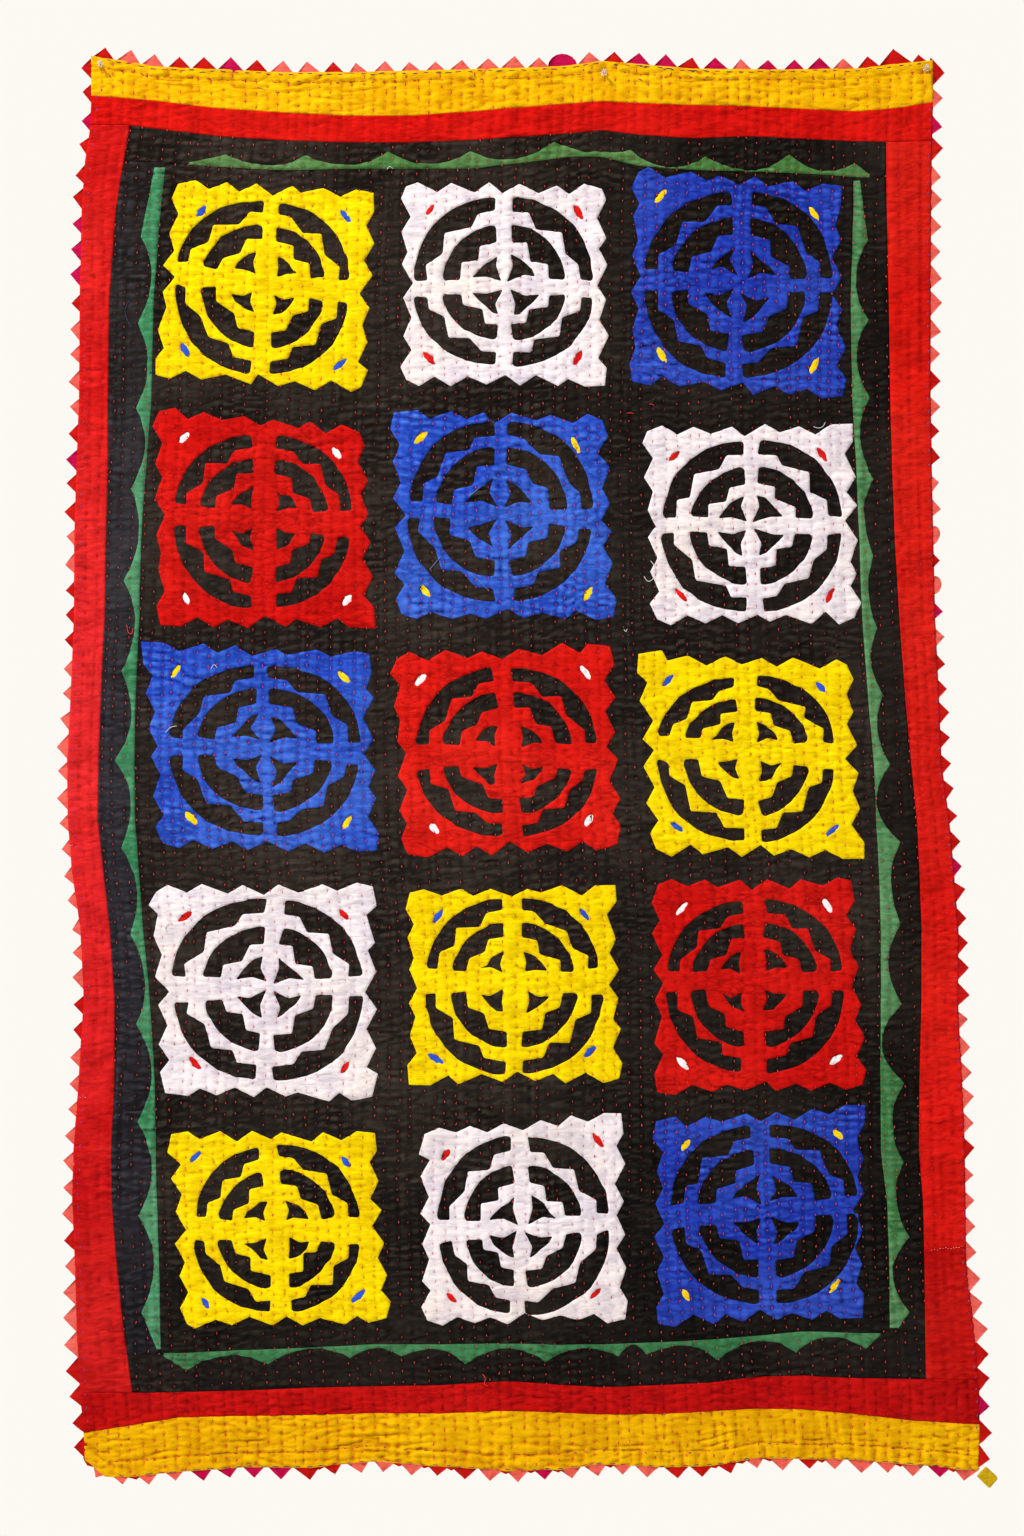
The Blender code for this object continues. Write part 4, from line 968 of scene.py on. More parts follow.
def cut_cloth(name, loops, under, thick, material, across=5.0, down=4.0, roll=1.9):
    """A cloth cut to LOOPS (outline first, then its holes), lying UNDER mm above the quilt's face, its edges turned in."""
    loops = [resampled(loop, 3.4) for loop in loops]
    low, high = loops[0].min(0), loops[0].max(0)
    xs, zs = np.arange(low[0], high[0], across), np.arange(low[1], high[1], down)
    px, pz = np.meshgrid(xs, zs)
    px[1::2] += across / 2
    inner = np.stack([px.ravel(), pz.ravel()], 1)
    inner = inner[inside_loops(inner, loops)]
    inner = inner[edge_distance(inner, loops) > 2.3]
    ring = []
    for loop in loops:
        before, after = np.roll(loop, 1, 0), np.roll(loop, -1, 0)
        run = after - before
        run /= np.hypot(run[:, 0], run[:, 1])[:, None] + 1e-9
        for sign in (1, -1):
            q = loop + np.stack([-run[:, 1], run[:, 0]], 1) * sign * 1.05
            ok = inside_loops(q, loops)
            ring.append(q[ok])
    ring = np.concatenate(ring)
    ring = ring[edge_distance(ring, loops) > 0.8]
    points = np.concatenate(loops + [ring, inner])
    edges, start = [], 0
    for loop in loops:
        n = len(loop)
        edges += [(start + k, start + (k + 1) % n) for k in range(n)]
        start += n
    out = delaunay_2d_cdt([Vector(p) for p in points], edges, [], 0, 0.001)
    spots = np.array([(v.x, v.y) for v in out[0]])
    faces = np.array(out[2])
    faces = faces[inside_loops(spots[faces].mean(1), loops)]
    used = np.unique(faces)
    new = np.full(len(spots), -1)
    new[used] = np.arange(len(used))
    faces, spots = new[faces], spots[used]
    d = edge_distance(spots, loops)
    height = under(spots[:, 0], spots[:, 1]) if callable(under) else under
    height = height - 0.05 + (thick + 0.05) * rolled(d, roll)
    obj = piece(name, on_quilt(spots[:, 0], spots[:, 1], height), faces, material, values={"hollow": hollow_at(spots[:, 0], spots[:, 1])})
    return obj


# ------------------------------------------------------------ cutwork squares
square_cover = np.zeros(GX.shape, np.float32)
leaf_pieces = {}
for number, row in enumerate(SQUARES):
    rng = np.random.default_rng(700 + number)
    outline, cuts, leaves = pinked(row, rng), ring_cuts(row, rng), leaf_insets(row, rng)
    name = "cutwork_" + row[0]
    tint = {"r2c2": "light_blue", "r3c1": "light_blue", "r2c1": "square_red", "r3c2": "bright_red", "r4c3": "square_red"}.get(row[0], row[1])
    obj = cut_cloth(name + "_cloth", [outline] + cuts + leaves, 0.0, CLOTH, MATERIALS[tint], 4.1, 3.2)
    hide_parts(name)
    square_cover = np.maximum(square_cover, fill([outline] + cuts + leaves) * CLOTH)
    leaf_pieces.setdefault(row[1], []).extend(leaves)

covered = box_blur((square_cover > 0).astype(np.float32), 4.0) > 0.999

# small cloth insets that show through the leaf-shaped holes
for colour, loops in leaf_pieces.items():
    points, faces, hollow = [], [], []
    for loop in loops:
        centre = loop.mean(0)
        start = len(points)
        rings = [centre + (loop - centre) * s for s in (1.12, 0.72, 0.36)]
        flat = np.concatenate(rings + [centre[None, :]])
        height = np.concatenate([np.full(16, 0.25), np.full(16, 0.55), np.full(16, 0.7), [0.75]])
        points += on_quilt(flat[:, 0], flat[:, 1], height).tolist()
        hollow += hollow_at(flat[:, 0], flat[:, 1]).tolist()
        for r in range(2):
            for k in range(16):
                a, b = start + r * 16 + k, start + r * 16 + (k + 1) % 16
                faces.append((a, b, b + 16, a + 16))
        faces += [(start + 32 + k, start + 32 + (k + 1) % 16, start + 48) for k in range(16)]
    obj = piece("leaf_insets_in_" + colour, points, faces, MATERIALS[LEAVES[colour]], values={"hollow": hollow})

# ---------------------------------------------- black face of the quilt's middle
x, z, dl, dr, du, dd = patch(head("green"), foot("green"), side("green_l"), side("green_r"), 5.9, 3.5)
height = -0.75 * sample(covered.astype(np.float32), x, z)
edge = np.minimum(np.minimum(dl, dr), np.minimum(du, dd))
height = height - 0.3 * (1 - rolled(edge, 1.5))
quilted_face = piece("quilted_face", on_quilt(x, z, height).reshape(-1, 3), grid_faces(*x.shape), MATERIALS["black"], values={"hollow": hollow_at(x, z).ravel()})
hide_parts("quilted_ground")

# ------------------------------------------------------- green pointed strips
green_cover = np.zeros(GX.shape, np.float32)


under_field = box_blur(strip_cover, 1.5)
for edge, peaks in GREEN_PEAKS.items():
    rng = np.random.default_rng(len(edge) * 17 + len(peaks))
    start, stop = GREEN_ENDS[edge]
    base_line = {"top": head("green"), "bottom": foot("green"), "left": side("green_l"), "right": side("green_r")}[edge]
    outward = {"top": 1.0, "bottom": -1.0, "left": -1.0, "right": 1.0}[edge]
    low, high = min(start, stop), max(start, stop)
    along = np.arange(low, high + 0.1, (high - low) / round((high - low) / 12))
    base = [(v, float(base_line(v)) - outward * 0.8 + 0.5 * float(noise(v / 45, 0.3, 40))) for v in along]
    order = sorted(peaks)
    tips = [(low, float(base_line(low)) + outward * GREEN_TIPS[edge][0])]
    for i, (place, tall) in enumerate(order):
        if i:
            before, tall_before = order[i - 1]
            gap = place - before
            valley = [wide for at, wide in GREEN_VALLEYS[edge] if before < at < place][0]
            # from one peak down in a hollow curve to the narrow part and up to the next
            for t, share in ((0.10, 0.66), (0.20, 0.38), (0.31, 0.16), (0.42, 0.03), (0.52, 0.0), (0.60, 0.02), (0.70, 0.13), (0.80, 0.34), (0.90, 0.63)):
                rise = tall_before if t < 0.5 else tall
                v = before + gap * (t + rng.normal(0, 0.006))
                tips.append((v, float(base_line(v)) + outward * (valley + (rise - valley) * share + rng.normal(0, 0.4))))
        tips.append((place, float(base_line(place)) + outward * tall))
    tips.append((high, float(base_line(high)) + outward * GREEN_TIPS[edge][1]))
    loop = np.array(base + tips[::-1])
    if edge in ("left", "right"):
        loop = loop[:, ::-1]
    obj = cut_cloth("green_strip_" + edge, [loop], lambda u, v: sample(under_field, u, v), GREEN_CLOTH, MATERIALS["green_" + edge], 5.0, 4.0, 1.5)
    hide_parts("green_points_" + edge)
    green_cover = np.maximum(green_cover, fill([resampled(loop, 6.0)]) * GREEN_CLOTH)

COVER = np.maximum(strip_cover, square_cover) + green_cover
COVER = box_blur(COVER, 0.8)

# ---------------------------------------------------------------- plain back
x, z, dl, dr, du, dd = patch(head("hem"), foot("hem"), side("hem_l"), side("hem_r"), 12.0, 7.5)
edge = np.minimum(np.minimum(dl, dr), np.minimum(du, dd))
back_y = -(sample(BASE, x, z) + 0.45 * sample(RELIEF, x, z)) - 0.05
rim_y = -(FACE + sample(H, x, z) - 1.95)
share = rolled(edge, 3.0)
y = rim_y * (1 - share) + back_y * share
# the back's hollow value, turned over, paints shade into its hollows and highlight onto its ridges
backing = piece("quilt_backing", np.stack([x, y, z], -1).reshape(-1, 3), grid_faces(*x.shape)[:, ::-1], MATERIALS["back"], values={"hollow": -0.5 * hollow_at(x, z).ravel()})


# -------------------------------------------------------------------- threads
def stitches_mesh(name, data, material, front=True, above=0.25, plain=False):
    """Short stitches as closed little spindles: x, z, half length, half width, slant, tone."""
    x, z, half, wide, slant, tone = data.T
    along = np.stack([np.sin(slant), np.cos(slant)], 1)
    across = np.stack([along[:, 1], -along[:, 0]], 1)
    sections = ((-1.0, 0.0, -0.3), (-0.55, 1.0, 1.0), (0.55, 1.0, 1.0), (1.0, 0.0, -0.3))
    if plain:
        sections = ((-1.0, 0.0, -0.3), (0.0, 1.1, 1.0), (1.0, 0.0, -0.3))
    points, tones = [], []
    for s, w, rise in sections:
        ring = ((0.0, 0.0),) if w == 0 else ((-1.0, -0.5), (0.0, 1.0), (1.0, -0.5))
        for side_step, lift in ring:
            p = np.stack([x, z], 1) + along * (half * s)[:, None] + across * (wide * w * side_step)[:, None]
            if front:
                y = -(FACE + sample(H, p[:, 0], p[:, 1]) + sample(COVER, p[:, 0], p[:, 1]) + above + (wide * lift if w else wide * rise))
            else:
                y = -(sample(BASE, p[:, 0], p[:, 1]) + 0.45 * sample(RELIEF, p[:, 0], p[:, 1])) + above + (wide * lift if w else wide * rise)
            points.append(np.stack([p[:, 0], y, p[:, 1]], 1))
            tones.append(tone)
    points = np.stack(points, 1)           # stitch, points
    n, per = len(x), points.shape[1]
    quads = []
    caps = []
    for k in range(3):
        a, b = 1 + k, 1 + (k + 1) % 3
        caps.append((0, b, a))
        if not plain:
            quads.append((a, b, b + 3, a + 3))
        caps.append((per - 1, a + per - 5, b + per - 5))
    start = (np.arange(n) * per)[:, None, None]
    tris = (np.array(caps)[None] + start).reshape(-1, 3)
    quad = (np.array(quads, int).reshape(1, -1, 4) + start).reshape(-1, 4)
    if not front:
        tris, quad = tris[:, ::-1], quad[:, ::-1]
    faces = tris.tolist() + quad.tolist()
    return piece(name, points.reshape(-1, 3), faces, material, values={"tone": np.repeat(tone, per)})


STITCH_COLUMNS = ("cloth", "share kept", "length", "width", "least tone", "most tone")
STITCH_LOOKS = (
    ("black", 0.96, 0.9, 0.85, 0.1, 0.8),
    ("band", 1.0, 1.1, 1.2, 0.2, 0.85),
    ("red", 0.22, 0.75, 0.70, 0.0, 0.25),
    ("yellow", 0.92, 0.9, 0.9, 0.25, 0.8),
    ("white", 0.95, 0.95, 0.85, 0.45, 0.9),
    ("blue", 0.95, 0.95, 0.85, 0.4, 0.85),
)


def cloth_under(x, z):
    """Which row of STITCH_LOOKS each place belongs to."""
    kind = np.zeros(x.shape, int)
    kind[(z > head("seam")(x)) | (z < foot("seam")(x)) | (x < side("seam_l")(z)) | (x > side("seam_r")(z))] = 2
    kind[(z > head("yellow")(x)) | (z < foot("yellow")(x))] = 1
    i = np.clip(np.round((x - GX0) / CELL).astype(int), 0, len(gx) - 1)
    j = np.clip(np.round((z - GZ0) / CELL).astype(int), 0, len(gz) - 1)
    on = square_cover[j, i] > 0
    for row in SQUARES:
        near = on & (np.abs(x - row[10]) < 150) & (np.abs(z - row[11]) < 150)
        kind[near] = {"yellow": 3, "white": 4, "blue": 5, "red": 2}[row[1]]
    return kind


def sewn(rows, seed):
    """The running stitches as they show on each cloth."""
    rng = np.random.default_rng(seed)
    looks = np.array([r[1:] for r in STITCH_LOOKS])[cloth_under(rows[:, 0], rows[:, 1])]
    data = rows.copy()
    data[:, 2] *= looks[:, 1]
    data[:, 3] *= looks[:, 2]
    data[:, 5] = looks[:, 3] + (looks[:, 4] - looks[:, 3]) * rows[:, 5]
    return data[rng.random(len(rows)) < looks[:, 0]]


def along_hem(line_of, start, stop, inwards, upright, seed, gap, length, width, thread=(0.2, 0.9)):
    """Stitches that follow a hem: INWARDS mm from it, spaced and sized as the ranges say."""
    rng = np.random.default_rng(seed)
    at = start + np.cumsum(rng.uniform(*gap, int((stop - start) / min(gap)) + 2))
    at = at[at < stop]
    away = line_of(at) + inwards + rng.normal(0, 0.7, at.shape)
    slope = np.arctan((line_of(at + 4) - line_of(at - 4)) / 8)
    x, z = (away, at) if upright else (at, away)
    slant = (slope if upright else math.pi / 2 - slope) + rng.normal(0, 0.08, at.shape)
    size = np.full(at.shape, 1.0)
    return np.stack([x, z, rng.uniform(*length, at.shape) / 2, size * rng.uniform(*width, at.shape), slant, rng.uniform(*thread, at.shape)], 1)


hem_t, hem_b = head("hem"), foot("hem")
upper_dashes = along_hem(hem_t, -620, 622, -4.2, False, 301, (13, 19), (7, 12), (0.6, 0.85))
upper_dashes = upper_dashes[np.min([np.abs(upper_dashes[:, 0] - p[0]) for p in PINS.values()], axis=0) > 9]
navy_tuft = np.array([(x, float(hem_t(np.array(x))) - 4.0 - 1.2 * (k % 2), 3.2, 0.8, 1.4 + 0.25 * (k % 3), 0.5) for k, x in enumerate((194, 199, 203, 229, 234, 240, 266, 271, 276))])
lower_dashes = along_hem(hem_b, -606, 690, 2.6, False, 302, (15, 22), (7, 12), (0.55, 0.8))
kind_of = np.random.default_rng(303).random(len(upper_dashes))
red_dashes = upper_dashes[kind_of > 0.72]
red_dashes[:, 5] = 0.15
low_kind = np.random.default_rng(304).random(len(lower_dashes))
red_low = lower_dashes[low_kind > 0.62]
red_low[:, 5] = 0.1
fold_row = along_hem(hem_b, -610, 692, 23.5, False, 305, (11, 19), (4, 7.5), (0.7, 1.0), (0.1, 0.5))
fold_row_top = along_hem(hem_t, -620, 620, -15.5, False, 306, (14, 30), (4, 7), (0.6, 0.85), (0.1, 0.5))
tufts = np.array([(-555, -12, 4.0, 0.8, 2.2, 0.2), (-549, -15, 3.6, 0.7, 2.0, 0.3), (-604, -14, 3.4, 0.9, 2.5, 0.2), (192, -20, 4.0, 0.9, 2.0, 0.2), (238, -12, 3.2, 0.9, 0.5, 0.2), (292, -17, 3.0, 0.9, 1.2, 0.2), (-377, -33, 7.5, 0.6, 1.9, 0.15), (-352, -39, 4.5, 0.6, 1.65, 0.2)])
left_side = along_hem(side("hem_l"), -2050, -40, 9.0, True, 307, (16, 21), (3.4, 5.2), (0.7, 0.95))
right_side = along_hem(side("hem_r"), -2060, -60, -5.0, True, 308, (16, 21), (3.4, 5.4), (0.7, 0.95))
front_reds = np.concatenate([sewn(STITCHES, 309), red_dashes, red_low, fold_row, fold_row_top, tufts])
threads = [stitches_mesh("running_stitches", front_reds, MATERIALS["thread_red"])]
back_rows = STITCHES.copy()
back_rows[:, 1] -= 7.8
ok = back_rows[:, 1] > foot("hem")(back_rows[:, 0]) + 8
threads.append(stitches_mesh("running_stitches_back", back_rows[ok], MATERIALS["thread_red"], front=False, plain=True))
threads.append(stitches_mesh("hem_stitches_navy", np.concatenate([upper_dashes[kind_of <= 0.72], lower_dashes[low_kind <= 0.62], navy_tuft]), MATERIALS["thread_navy"], above=0.1))
threads.append(stitches_mesh("side_stitches_violet", np.concatenate([left_side, right_side]), MATERIALS["thread_violet"], above=0.1))
machine = []
for seed, (x0, z0, z1) in enumerate(((174, -880, -740), (192, -840, -760), (-578, -140, -95))):
    machine.append(along_hem(lambda v: x0 + 1.5 * noise(v / 60, 0 * v, 50 + seed), z0, z1, 0.0, True, 320 + seed, (4.0, 4.6), (1.3, 1.8), (0.25, 0.33), (0.0, 0.3)))
pieced = [along_hem(lambda v: -1776 + 0.12 * (v - 624), 624, 676, 0.0, False, 330, (3.8, 4.6), (1.6, 2.4), (0.45, 0.6), (0.3, 1.0)),
          along_hem(lambda v: -1547 + 0.06 * (v + 652), -652, -634, 0.0, False, 331, (3.8, 4.6), (1.6, 2.4), (0.4, 0.55), (0.3, 1.0))]
threads.append(stitches_mesh("pieced_seam_stitches", np.concatenate(pieced), MATERIALS["thread_coral"], above=0.1))
threads.append(stitches_mesh("machine_seam_stitches", np.concatenate(machine), MATERIALS["thread_grey"], above=0.0))


def loose_threads(name, paths, radius, material, sides=6):
    """Threads lying loose on the cloth: each path has (x, z, height above the cloth)."""
    points, faces = [], []
    for path in paths:
        p = np.array(path, float)
        t = np.linspace(0, len(p) - 1, (len(p) - 1) * 5 + 1)
        k = np.clip(t.astype(int), 0, len(p) - 2)
        u = (t - k)[:, None]
        before, after = p[np.maximum(k - 1, 0)], p[np.minimum(k + 2, len(p) - 1)]
        a, b = p[k], p[k + 1]
        m0, m1 = (b - before) / 2, (after - a) / 2
        c = (2 * u**3 - 3 * u**2 + 1) * a + (u**3 - 2 * u**2 + u) * m0 + (3 * u**2 - 2 * u**3) * b + (u**3 - u**2) * m1
        y = -(FACE + sample(H, c[:, 0], c[:, 1]) + sample(COVER, c[:, 0], c[:, 1]) + c[:, 2])
        c = np.stack([c[:, 0], y, c[:, 1]], 1)
        run = np.gradient(c, axis=0)
        run /= np.linalg.norm(run, axis=1)[:, None] + 1e-9
        one = np.cross(run, (0, 1, 0))
        one /= np.linalg.norm(one, axis=1)[:, None] + 1e-9
        two = np.cross(run, one)
        start = len(points)
        for i in range(len(c)):
            r = radius * (0.35 if i in (0, len(c) - 1) else 1.0)
            for q in range(sides):
                a_ = 2 * math.pi * q / sides
                points.append(c[i] + r * (math.cos(a_) * one[i] + math.sin(a_) * two[i]))
        for i in range(len(c) - 1):
            for q in range(sides):
                a_, b_ = start + i * sides + q, start + i * sides + (q + 1) % sides
                faces.append((a_, b_, b_ + sides, a_ + sides))
        faces.append(tuple(start + q for q in range(sides))[::-1])
        faces.append(tuple(start + (len(c) - 1) * sides + q for q in range(sides)))
    return piece(name, points, faces, material, values={"tone": np.full(len(points), 0.7)})


loose = [
    loose_threads("loose_threads_white", (
        ((198, -765, 1.2), (204, -773, 2.2), (212, -768, 2.0), (214, -752, 1.6), (208, -742, 1.0)),
        ((-188, -155, 0.6), (-183, -151, 1.2), (-178, -154, 0.7)),
        ((-162, -347, 0.6), (-157, -350, 1.0), (-152, -344, 0.6)),
        ((452, -541, 0.6), (459, -543, 1.4), (466, -541, 1.6), (470, -534, 0.8)),
        ((-452, -905, 0.8), (-447, -898, 1.4), (-442, -903, 0.8)),
        ((-520, -1000, 0.6), (-512, -992, 1.2), (-503, -990, 0.8)),
        ((-514, -1285, 0.8), (-520, -1292, 1.2), (-518, -1300, 0.7)),
        ((168, -845, 0.8), (171, -848, 1.4), (173, -844, 0.9)),
    ), 0.45, MATERIALS["thread_white"]),
    loose_threads("loose_threads_red", (
        ((-578, -838, 0.8), (-575, -850, 1.8), (-570, -851, 1.8), (-568, -843, 1.0)),
        ((172, -521, 0.8), (178, -520, 1.2), (183, -522, 0.7)),
        ((206, -508, 0.8), (209, -507, 1.2), (213, -509, 0.7)),
        ((-44, -1961, 0.8), (-40, -1966, 1.4), (-41, -1975, 1.2), (-36, -1979, 0.8)),
    ), 0.5, MATERIALS["thread_red"]),
    loose_threads("loose_threads_pale_blue", (
        ((-65, -645, 0.5), (-57, -640, 0.9), (-48, -631, 0.5)),
        ((-124, -756, 0.5), (-115, -745, 0.9), (-106, -735, 0.6)),
        ((-65, -760, 0.5), (-50, -772, 0.9), (-34, -788, 0.5)),
    ), 0.42, MATERIALS["thread_pale"]),
    loose_threads("loose_threads_dark", (
        ((-574, -352, 0.6), (-580, -366, 1.4), (-577, -381, 1.4), (-571, -392, 0.7)),
    ), 0.4, MATERIALS["thread_navy"]),
]


# ------------------------------------------------------------ edging of points
def hem_walk(edge):
    """Points along one hem, clockwise as seen from the front."""
    top, low, left, right = head("hem"), foot("hem"), side("hem_l"), side("hem_r")
    if edge == "top":
        xs = np.linspace(float(left(10)), float(right(6)), 300)
        return np.stack([xs, top(xs)], 1)
    if edge == "bottom":
        xs = np.linspace(float(right(-2100)), float(left(-2100)) + 4, 300)
        return np.stack([xs, low(xs)], 1)
    zs = np.linspace(float(top(right(0))) if edge == "right" else -2092, -2104 if edge == "right" else float(top(left(0))), 500)
    f = right if edge == "right" else left
    return np.stack([f(zs), zs], 1)


POINT_MATERIALS = {"r": "point_red", "c": "point_coral", "m": "point_magenta"}
for edge, (count, lean, seed, colours, heights) in POINTS.items():
    rng = np.random.default_rng(seed)
    path = hem_walk(edge)
    gone = np.concatenate([[0], np.cumsum(np.hypot(*np.diff(path, axis=0).T))])
    total = gone[-1]
    pitch = total / count

    def along(s):
        s = min(max(s, 0.0), total)
        p = np.array((np.interp(s, gone, path[:, 0]), np.interp(s, gone, path[:, 1])))
        q = np.array((np.interp(min(s + 6, total), gone, path[:, 0]), np.interp(min(s + 6, total), gone, path[:, 1])))
        o = np.array((np.interp(max(s - 6, 0), gone, path[:, 0]), np.interp(max(s - 6, 0), gone, path[:, 1])))
        run = (q - o) / np.hypot(*(q - o))
        return p, run, np.array((-run[1], run[0]))

    points, faces, slots_of, hollow = [], [], [], []
    entries = []
    for k in range(count):
        tall = float(np.interp((k + 0.5) / count, [r[0] for r in heights], [r[1] for r in heights]))
        blunt = k + 1 in ROUNDED.get(edge, ())
        high = tall * rng.uniform(0.86, 1.14)
        half = high * rng.uniform(0.95, 1.12) * (1.25 if blunt else 1.0)
        centre = (k + 0.5) * pitch + rng.normal(0, 1.2)
        entries.append((colours[k % len(colours)], high, half, centre, blunt, 0.0))
        if edge == "bottom" and rng.random() < 0.45:      # the next one's dark fold shows between
            entries.append(("r", 4.6, 10.5, centre + pitch / 2, False, 0.9))
    for colour, high, half, centre, blunt, behind in entries:
        tip = centre + lean + rng.normal(0, 1.6)
        base, run, out = along(centre)
        a, b = base - run * half, base + run * half
        apex = base + run * (tip - centre) + out * high
        painted_shade_mask = 5.0
        curl = rng.uniform(-0.3, 1.2)
        # five rows from inside the hem to the tip, three across; front, then back
        rows_ = ((-painted_shade_mask, 1.25), (0.0, 1.0), (0.30 * high, 0.70), (0.62 * high, 0.38), (0.88 * high, 0.12))
        if blunt:
            rows_ = ((-painted_shade_mask, 1.05), (0.0, 1.0), (0.36 * high, 0.92), (0.70 * high, 0.68), (0.92 * high, 0.36))
        start = len(points)
        for layer in (0, 1):
            for out_by, width in rows_:
                for s in (-1.0, -0.5, 0.0, 0.5, 1.0):
                    share = max(out_by / high, 0.0)
                    c = base + run * (tip - centre) * share + out * out_by
                    p = c + run * half * width * s * (1.0 if out_by >= 0 else 0.96)
                    thick = 1.5 * (1 - abs(s) ** 2.5 * 0.55)
                    lift = curl * share ** 1.5 + (0.25 if abs(s) < 0.3 else 0.0)
                    y = -(FACE - 1.6 - behind + float(sample(H, p[0], p[1])) * 1.0 + lift + (thick if layer == 0 else 0.0))
                    points.append((p[0], y, p[1]))
                    # painted shade along the base of each point, where it goes in under the hem
                    hollow.append(0.55 * (1 - ease(out_by, 0.0, 4.0)) if layer == 0 else 0.0)
            y = -(FACE - 1.6 - behind + float(sample(H, apex[0], apex[1])) + curl + (0.9 if layer == 0 else 0.2))
            points.append((apex[0], y, apex[1]))
            hollow.append(0.0)
        per = 26
        for layer in (0, 1):
            o = start + layer * per
            for r in range(4):
                for c in range(4):
                    q = (o + r * 5 + c, o + r * 5 + c + 1, o + (r + 1) * 5 + c + 1, o + (r + 1) * 5 + c)
                    faces.append(q[::-1] if layer == 0 else q)
            for c in range(4):
                t = (o + 20 + c, o + 20 + c + 1, o + 25)
                faces.append(t[::-1] if layer == 0 else t)
        rim = [start + r * 5 for r in range(5)] + [start + 25] + [start + r * 5 + 4 for r in range(4, -1, -1)]
        for m_, n_ in zip(rim, rim[1:]):
            faces.append((m_, n_, n_ + per, m_ + per))
        faces.append((rim[-1], rim[0], rim[0] + per, rim[-1] + per))
        slots_of += ["rcm".index(colour)] * (16 * 2 + 4 * 2 + 11)
    obj = piece("edging_" + edge, points, faces, MATERIALS["point_red"], values={"hollow": hollow})
    obj.data.materials.append(MATERIALS["point_coral"])
    obj.data.materials.append(MATERIALS["point_magenta"])
    obj.data.polygons.foreach_set("material_index", np.array(slots_of, np.int32))
    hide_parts("points_" + edge)

# -------------------------------------------------------------------- the pins
PIN_HEAD = (      # radius, distance in front of the flange's back face
    (0.6, 0.0), (4.6, 0.0), (5.0, 0.35), (5.0, 1.0), (4.6, 1.35), (3.2, 1.8), (2.3, 2.6), (1.95, 3.6), (1.9, 5.0), (1.9, 8.0),
    (2.1, 9.2), (2.75, 10.3), (3.1, 11.2), (3.1, 12.0), (2.8, 12.5), (2.2, 12.6), (0.0, 12.6),
)
NEEDLE = ((0.0, 7.0), (0.5, 7.0), (0.55, 6.0), (0.55, -17.0), (0.25, -20.0), (0.0, -21.0))


def turned(name, profile, at, material, sides=32):
    """A turned piece on the level axis through AT = (x, y, z); distance counts towards the front."""
    points, faces = [], []
    for r, h in profile:
        for k in range(sides):
            a = 2 * math.pi * k / sides
            points.append((at[0] + r * math.cos(a), at[1] - h, at[2] + r * math.sin(a)))
    for i in range(len(profile) - 1):
        for k in range(sides):
            a, b = i * sides + k, i * sides + (k + 1) % sides
            faces.append((a, b, b + sides, a + sides))
    return points, faces



def finished(obj):
    """Doubled points joined and faces turned outwards."""
    bm = bmesh.new()
    bm.from_mesh(obj.data)
    bmesh.ops.remove_doubles(bm, verts=bm.verts, dist=0.00001)
    bmesh.ops.recalc_face_normals(bm, faces=bm.faces)
    if bm.calc_volume(signed=True) < 0:
        bmesh.ops.reverse_faces(bm, faces=bm.faces)
    bm.to_mesh(obj.data)
    bm.free()
    obj.data.polygons.foreach_set("use_smooth", np.ones(len(obj.data.polygons), bool))
    return obj


clear = Nodes("clear_plastic_pin")
clear.shader.inputs["Base Color"].default_value = (0.96, 0.97, 0.96, 1)
clear.shader.inputs["Transmission Weight"].default_value = 0.75
clear.shader.inputs["Alpha"].default_value = 0.62
clear.shader.inputs["IOR"].default_value = 1.49
scuff = clear.noise((600, 600, 600), 2.0)
clear.link(clear.span(scuff, 0.4, 0.7, 0.04, 0.16), clear.shader.inputs["Roughness"])
clear.link(clear.bump(scuff, 0.0001, 0.15), clear.shader.inputs["Normal"])
steel = Nodes("steel_needle")
steel.shader.inputs["Base Color"].default_value = (0.62, 0.61, 0.59, 1)
steel.shader.inputs["Metallic"].default_value = 1.0
steel.link(steel.span(steel.noise((900, 200, 900), 2.0), 0.3, 0.7, 0.22, 0.38), steel.shader.inputs["Roughness"])

for pin, (px, pz) in PINS.items():
    low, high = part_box("push_pin_" + pin)
    front_y = (low[1] / MM) + 12.6
    points, faces = turned("pin", PIN_HEAD, (px, front_y, pz), None)
    head_obj = finished(piece("push_pin_" + pin + "_clear", points, faces, clear.material))
    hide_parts("push_pin_" + pin)
    points, faces = turned("needle", NEEDLE, (px, front_y, pz), None, 12)
    finished(piece("push_pin_" + pin + "_needle", points, faces, steel.material))

# ------------------------------------------------------------------ corner tab
tab_at, tab_turn = np.array((712.0, -2115.0)), math.radians(-42)
tab_shape = ((-1, 1), (0.6, 1), (0.95, 0.85), (1, -0.8), (0.8, -1), (-1, -0.9))
c, s = math.cos(tab_turn), math.sin(tab_turn)
tab_loop = np.array([(tab_at[0] + 13.6 * u * c - 10.6 * v * s, tab_at[1] + 13.6 * u * s + 10.6 * v * c) for u, v in tab_shape])
centre = tab_loop.mean(0)
outline = resampled(softened(tab_loop, 1.2), 2.5)
points, faces, hollow = [], [], []
n = len(outline)
for share, h in ((1.0, 0.0), (0.985, 0.75), (0.93, 1.25), (0.7, 1.4), (0.4, 1.45)):
    q = centre + (outline - centre) * share
    fold = 0.25 * bell(((q - centre) @ np.array((c, s))) - 4, 3.0)
    points += np.stack([q[:, 0], -(FACE - 1.4 + sample(H, q[:, 0], q[:, 1]) + h - fold), q[:, 1]], 1).tolist()
    # painted shade along the tab's fold line
    hollow += (fold * 2).tolist()
points += [(centre[0], -(FACE + float(sample(H, centre[0], centre[1])) + 0.05), centre[1])]
hollow.append(0.0)
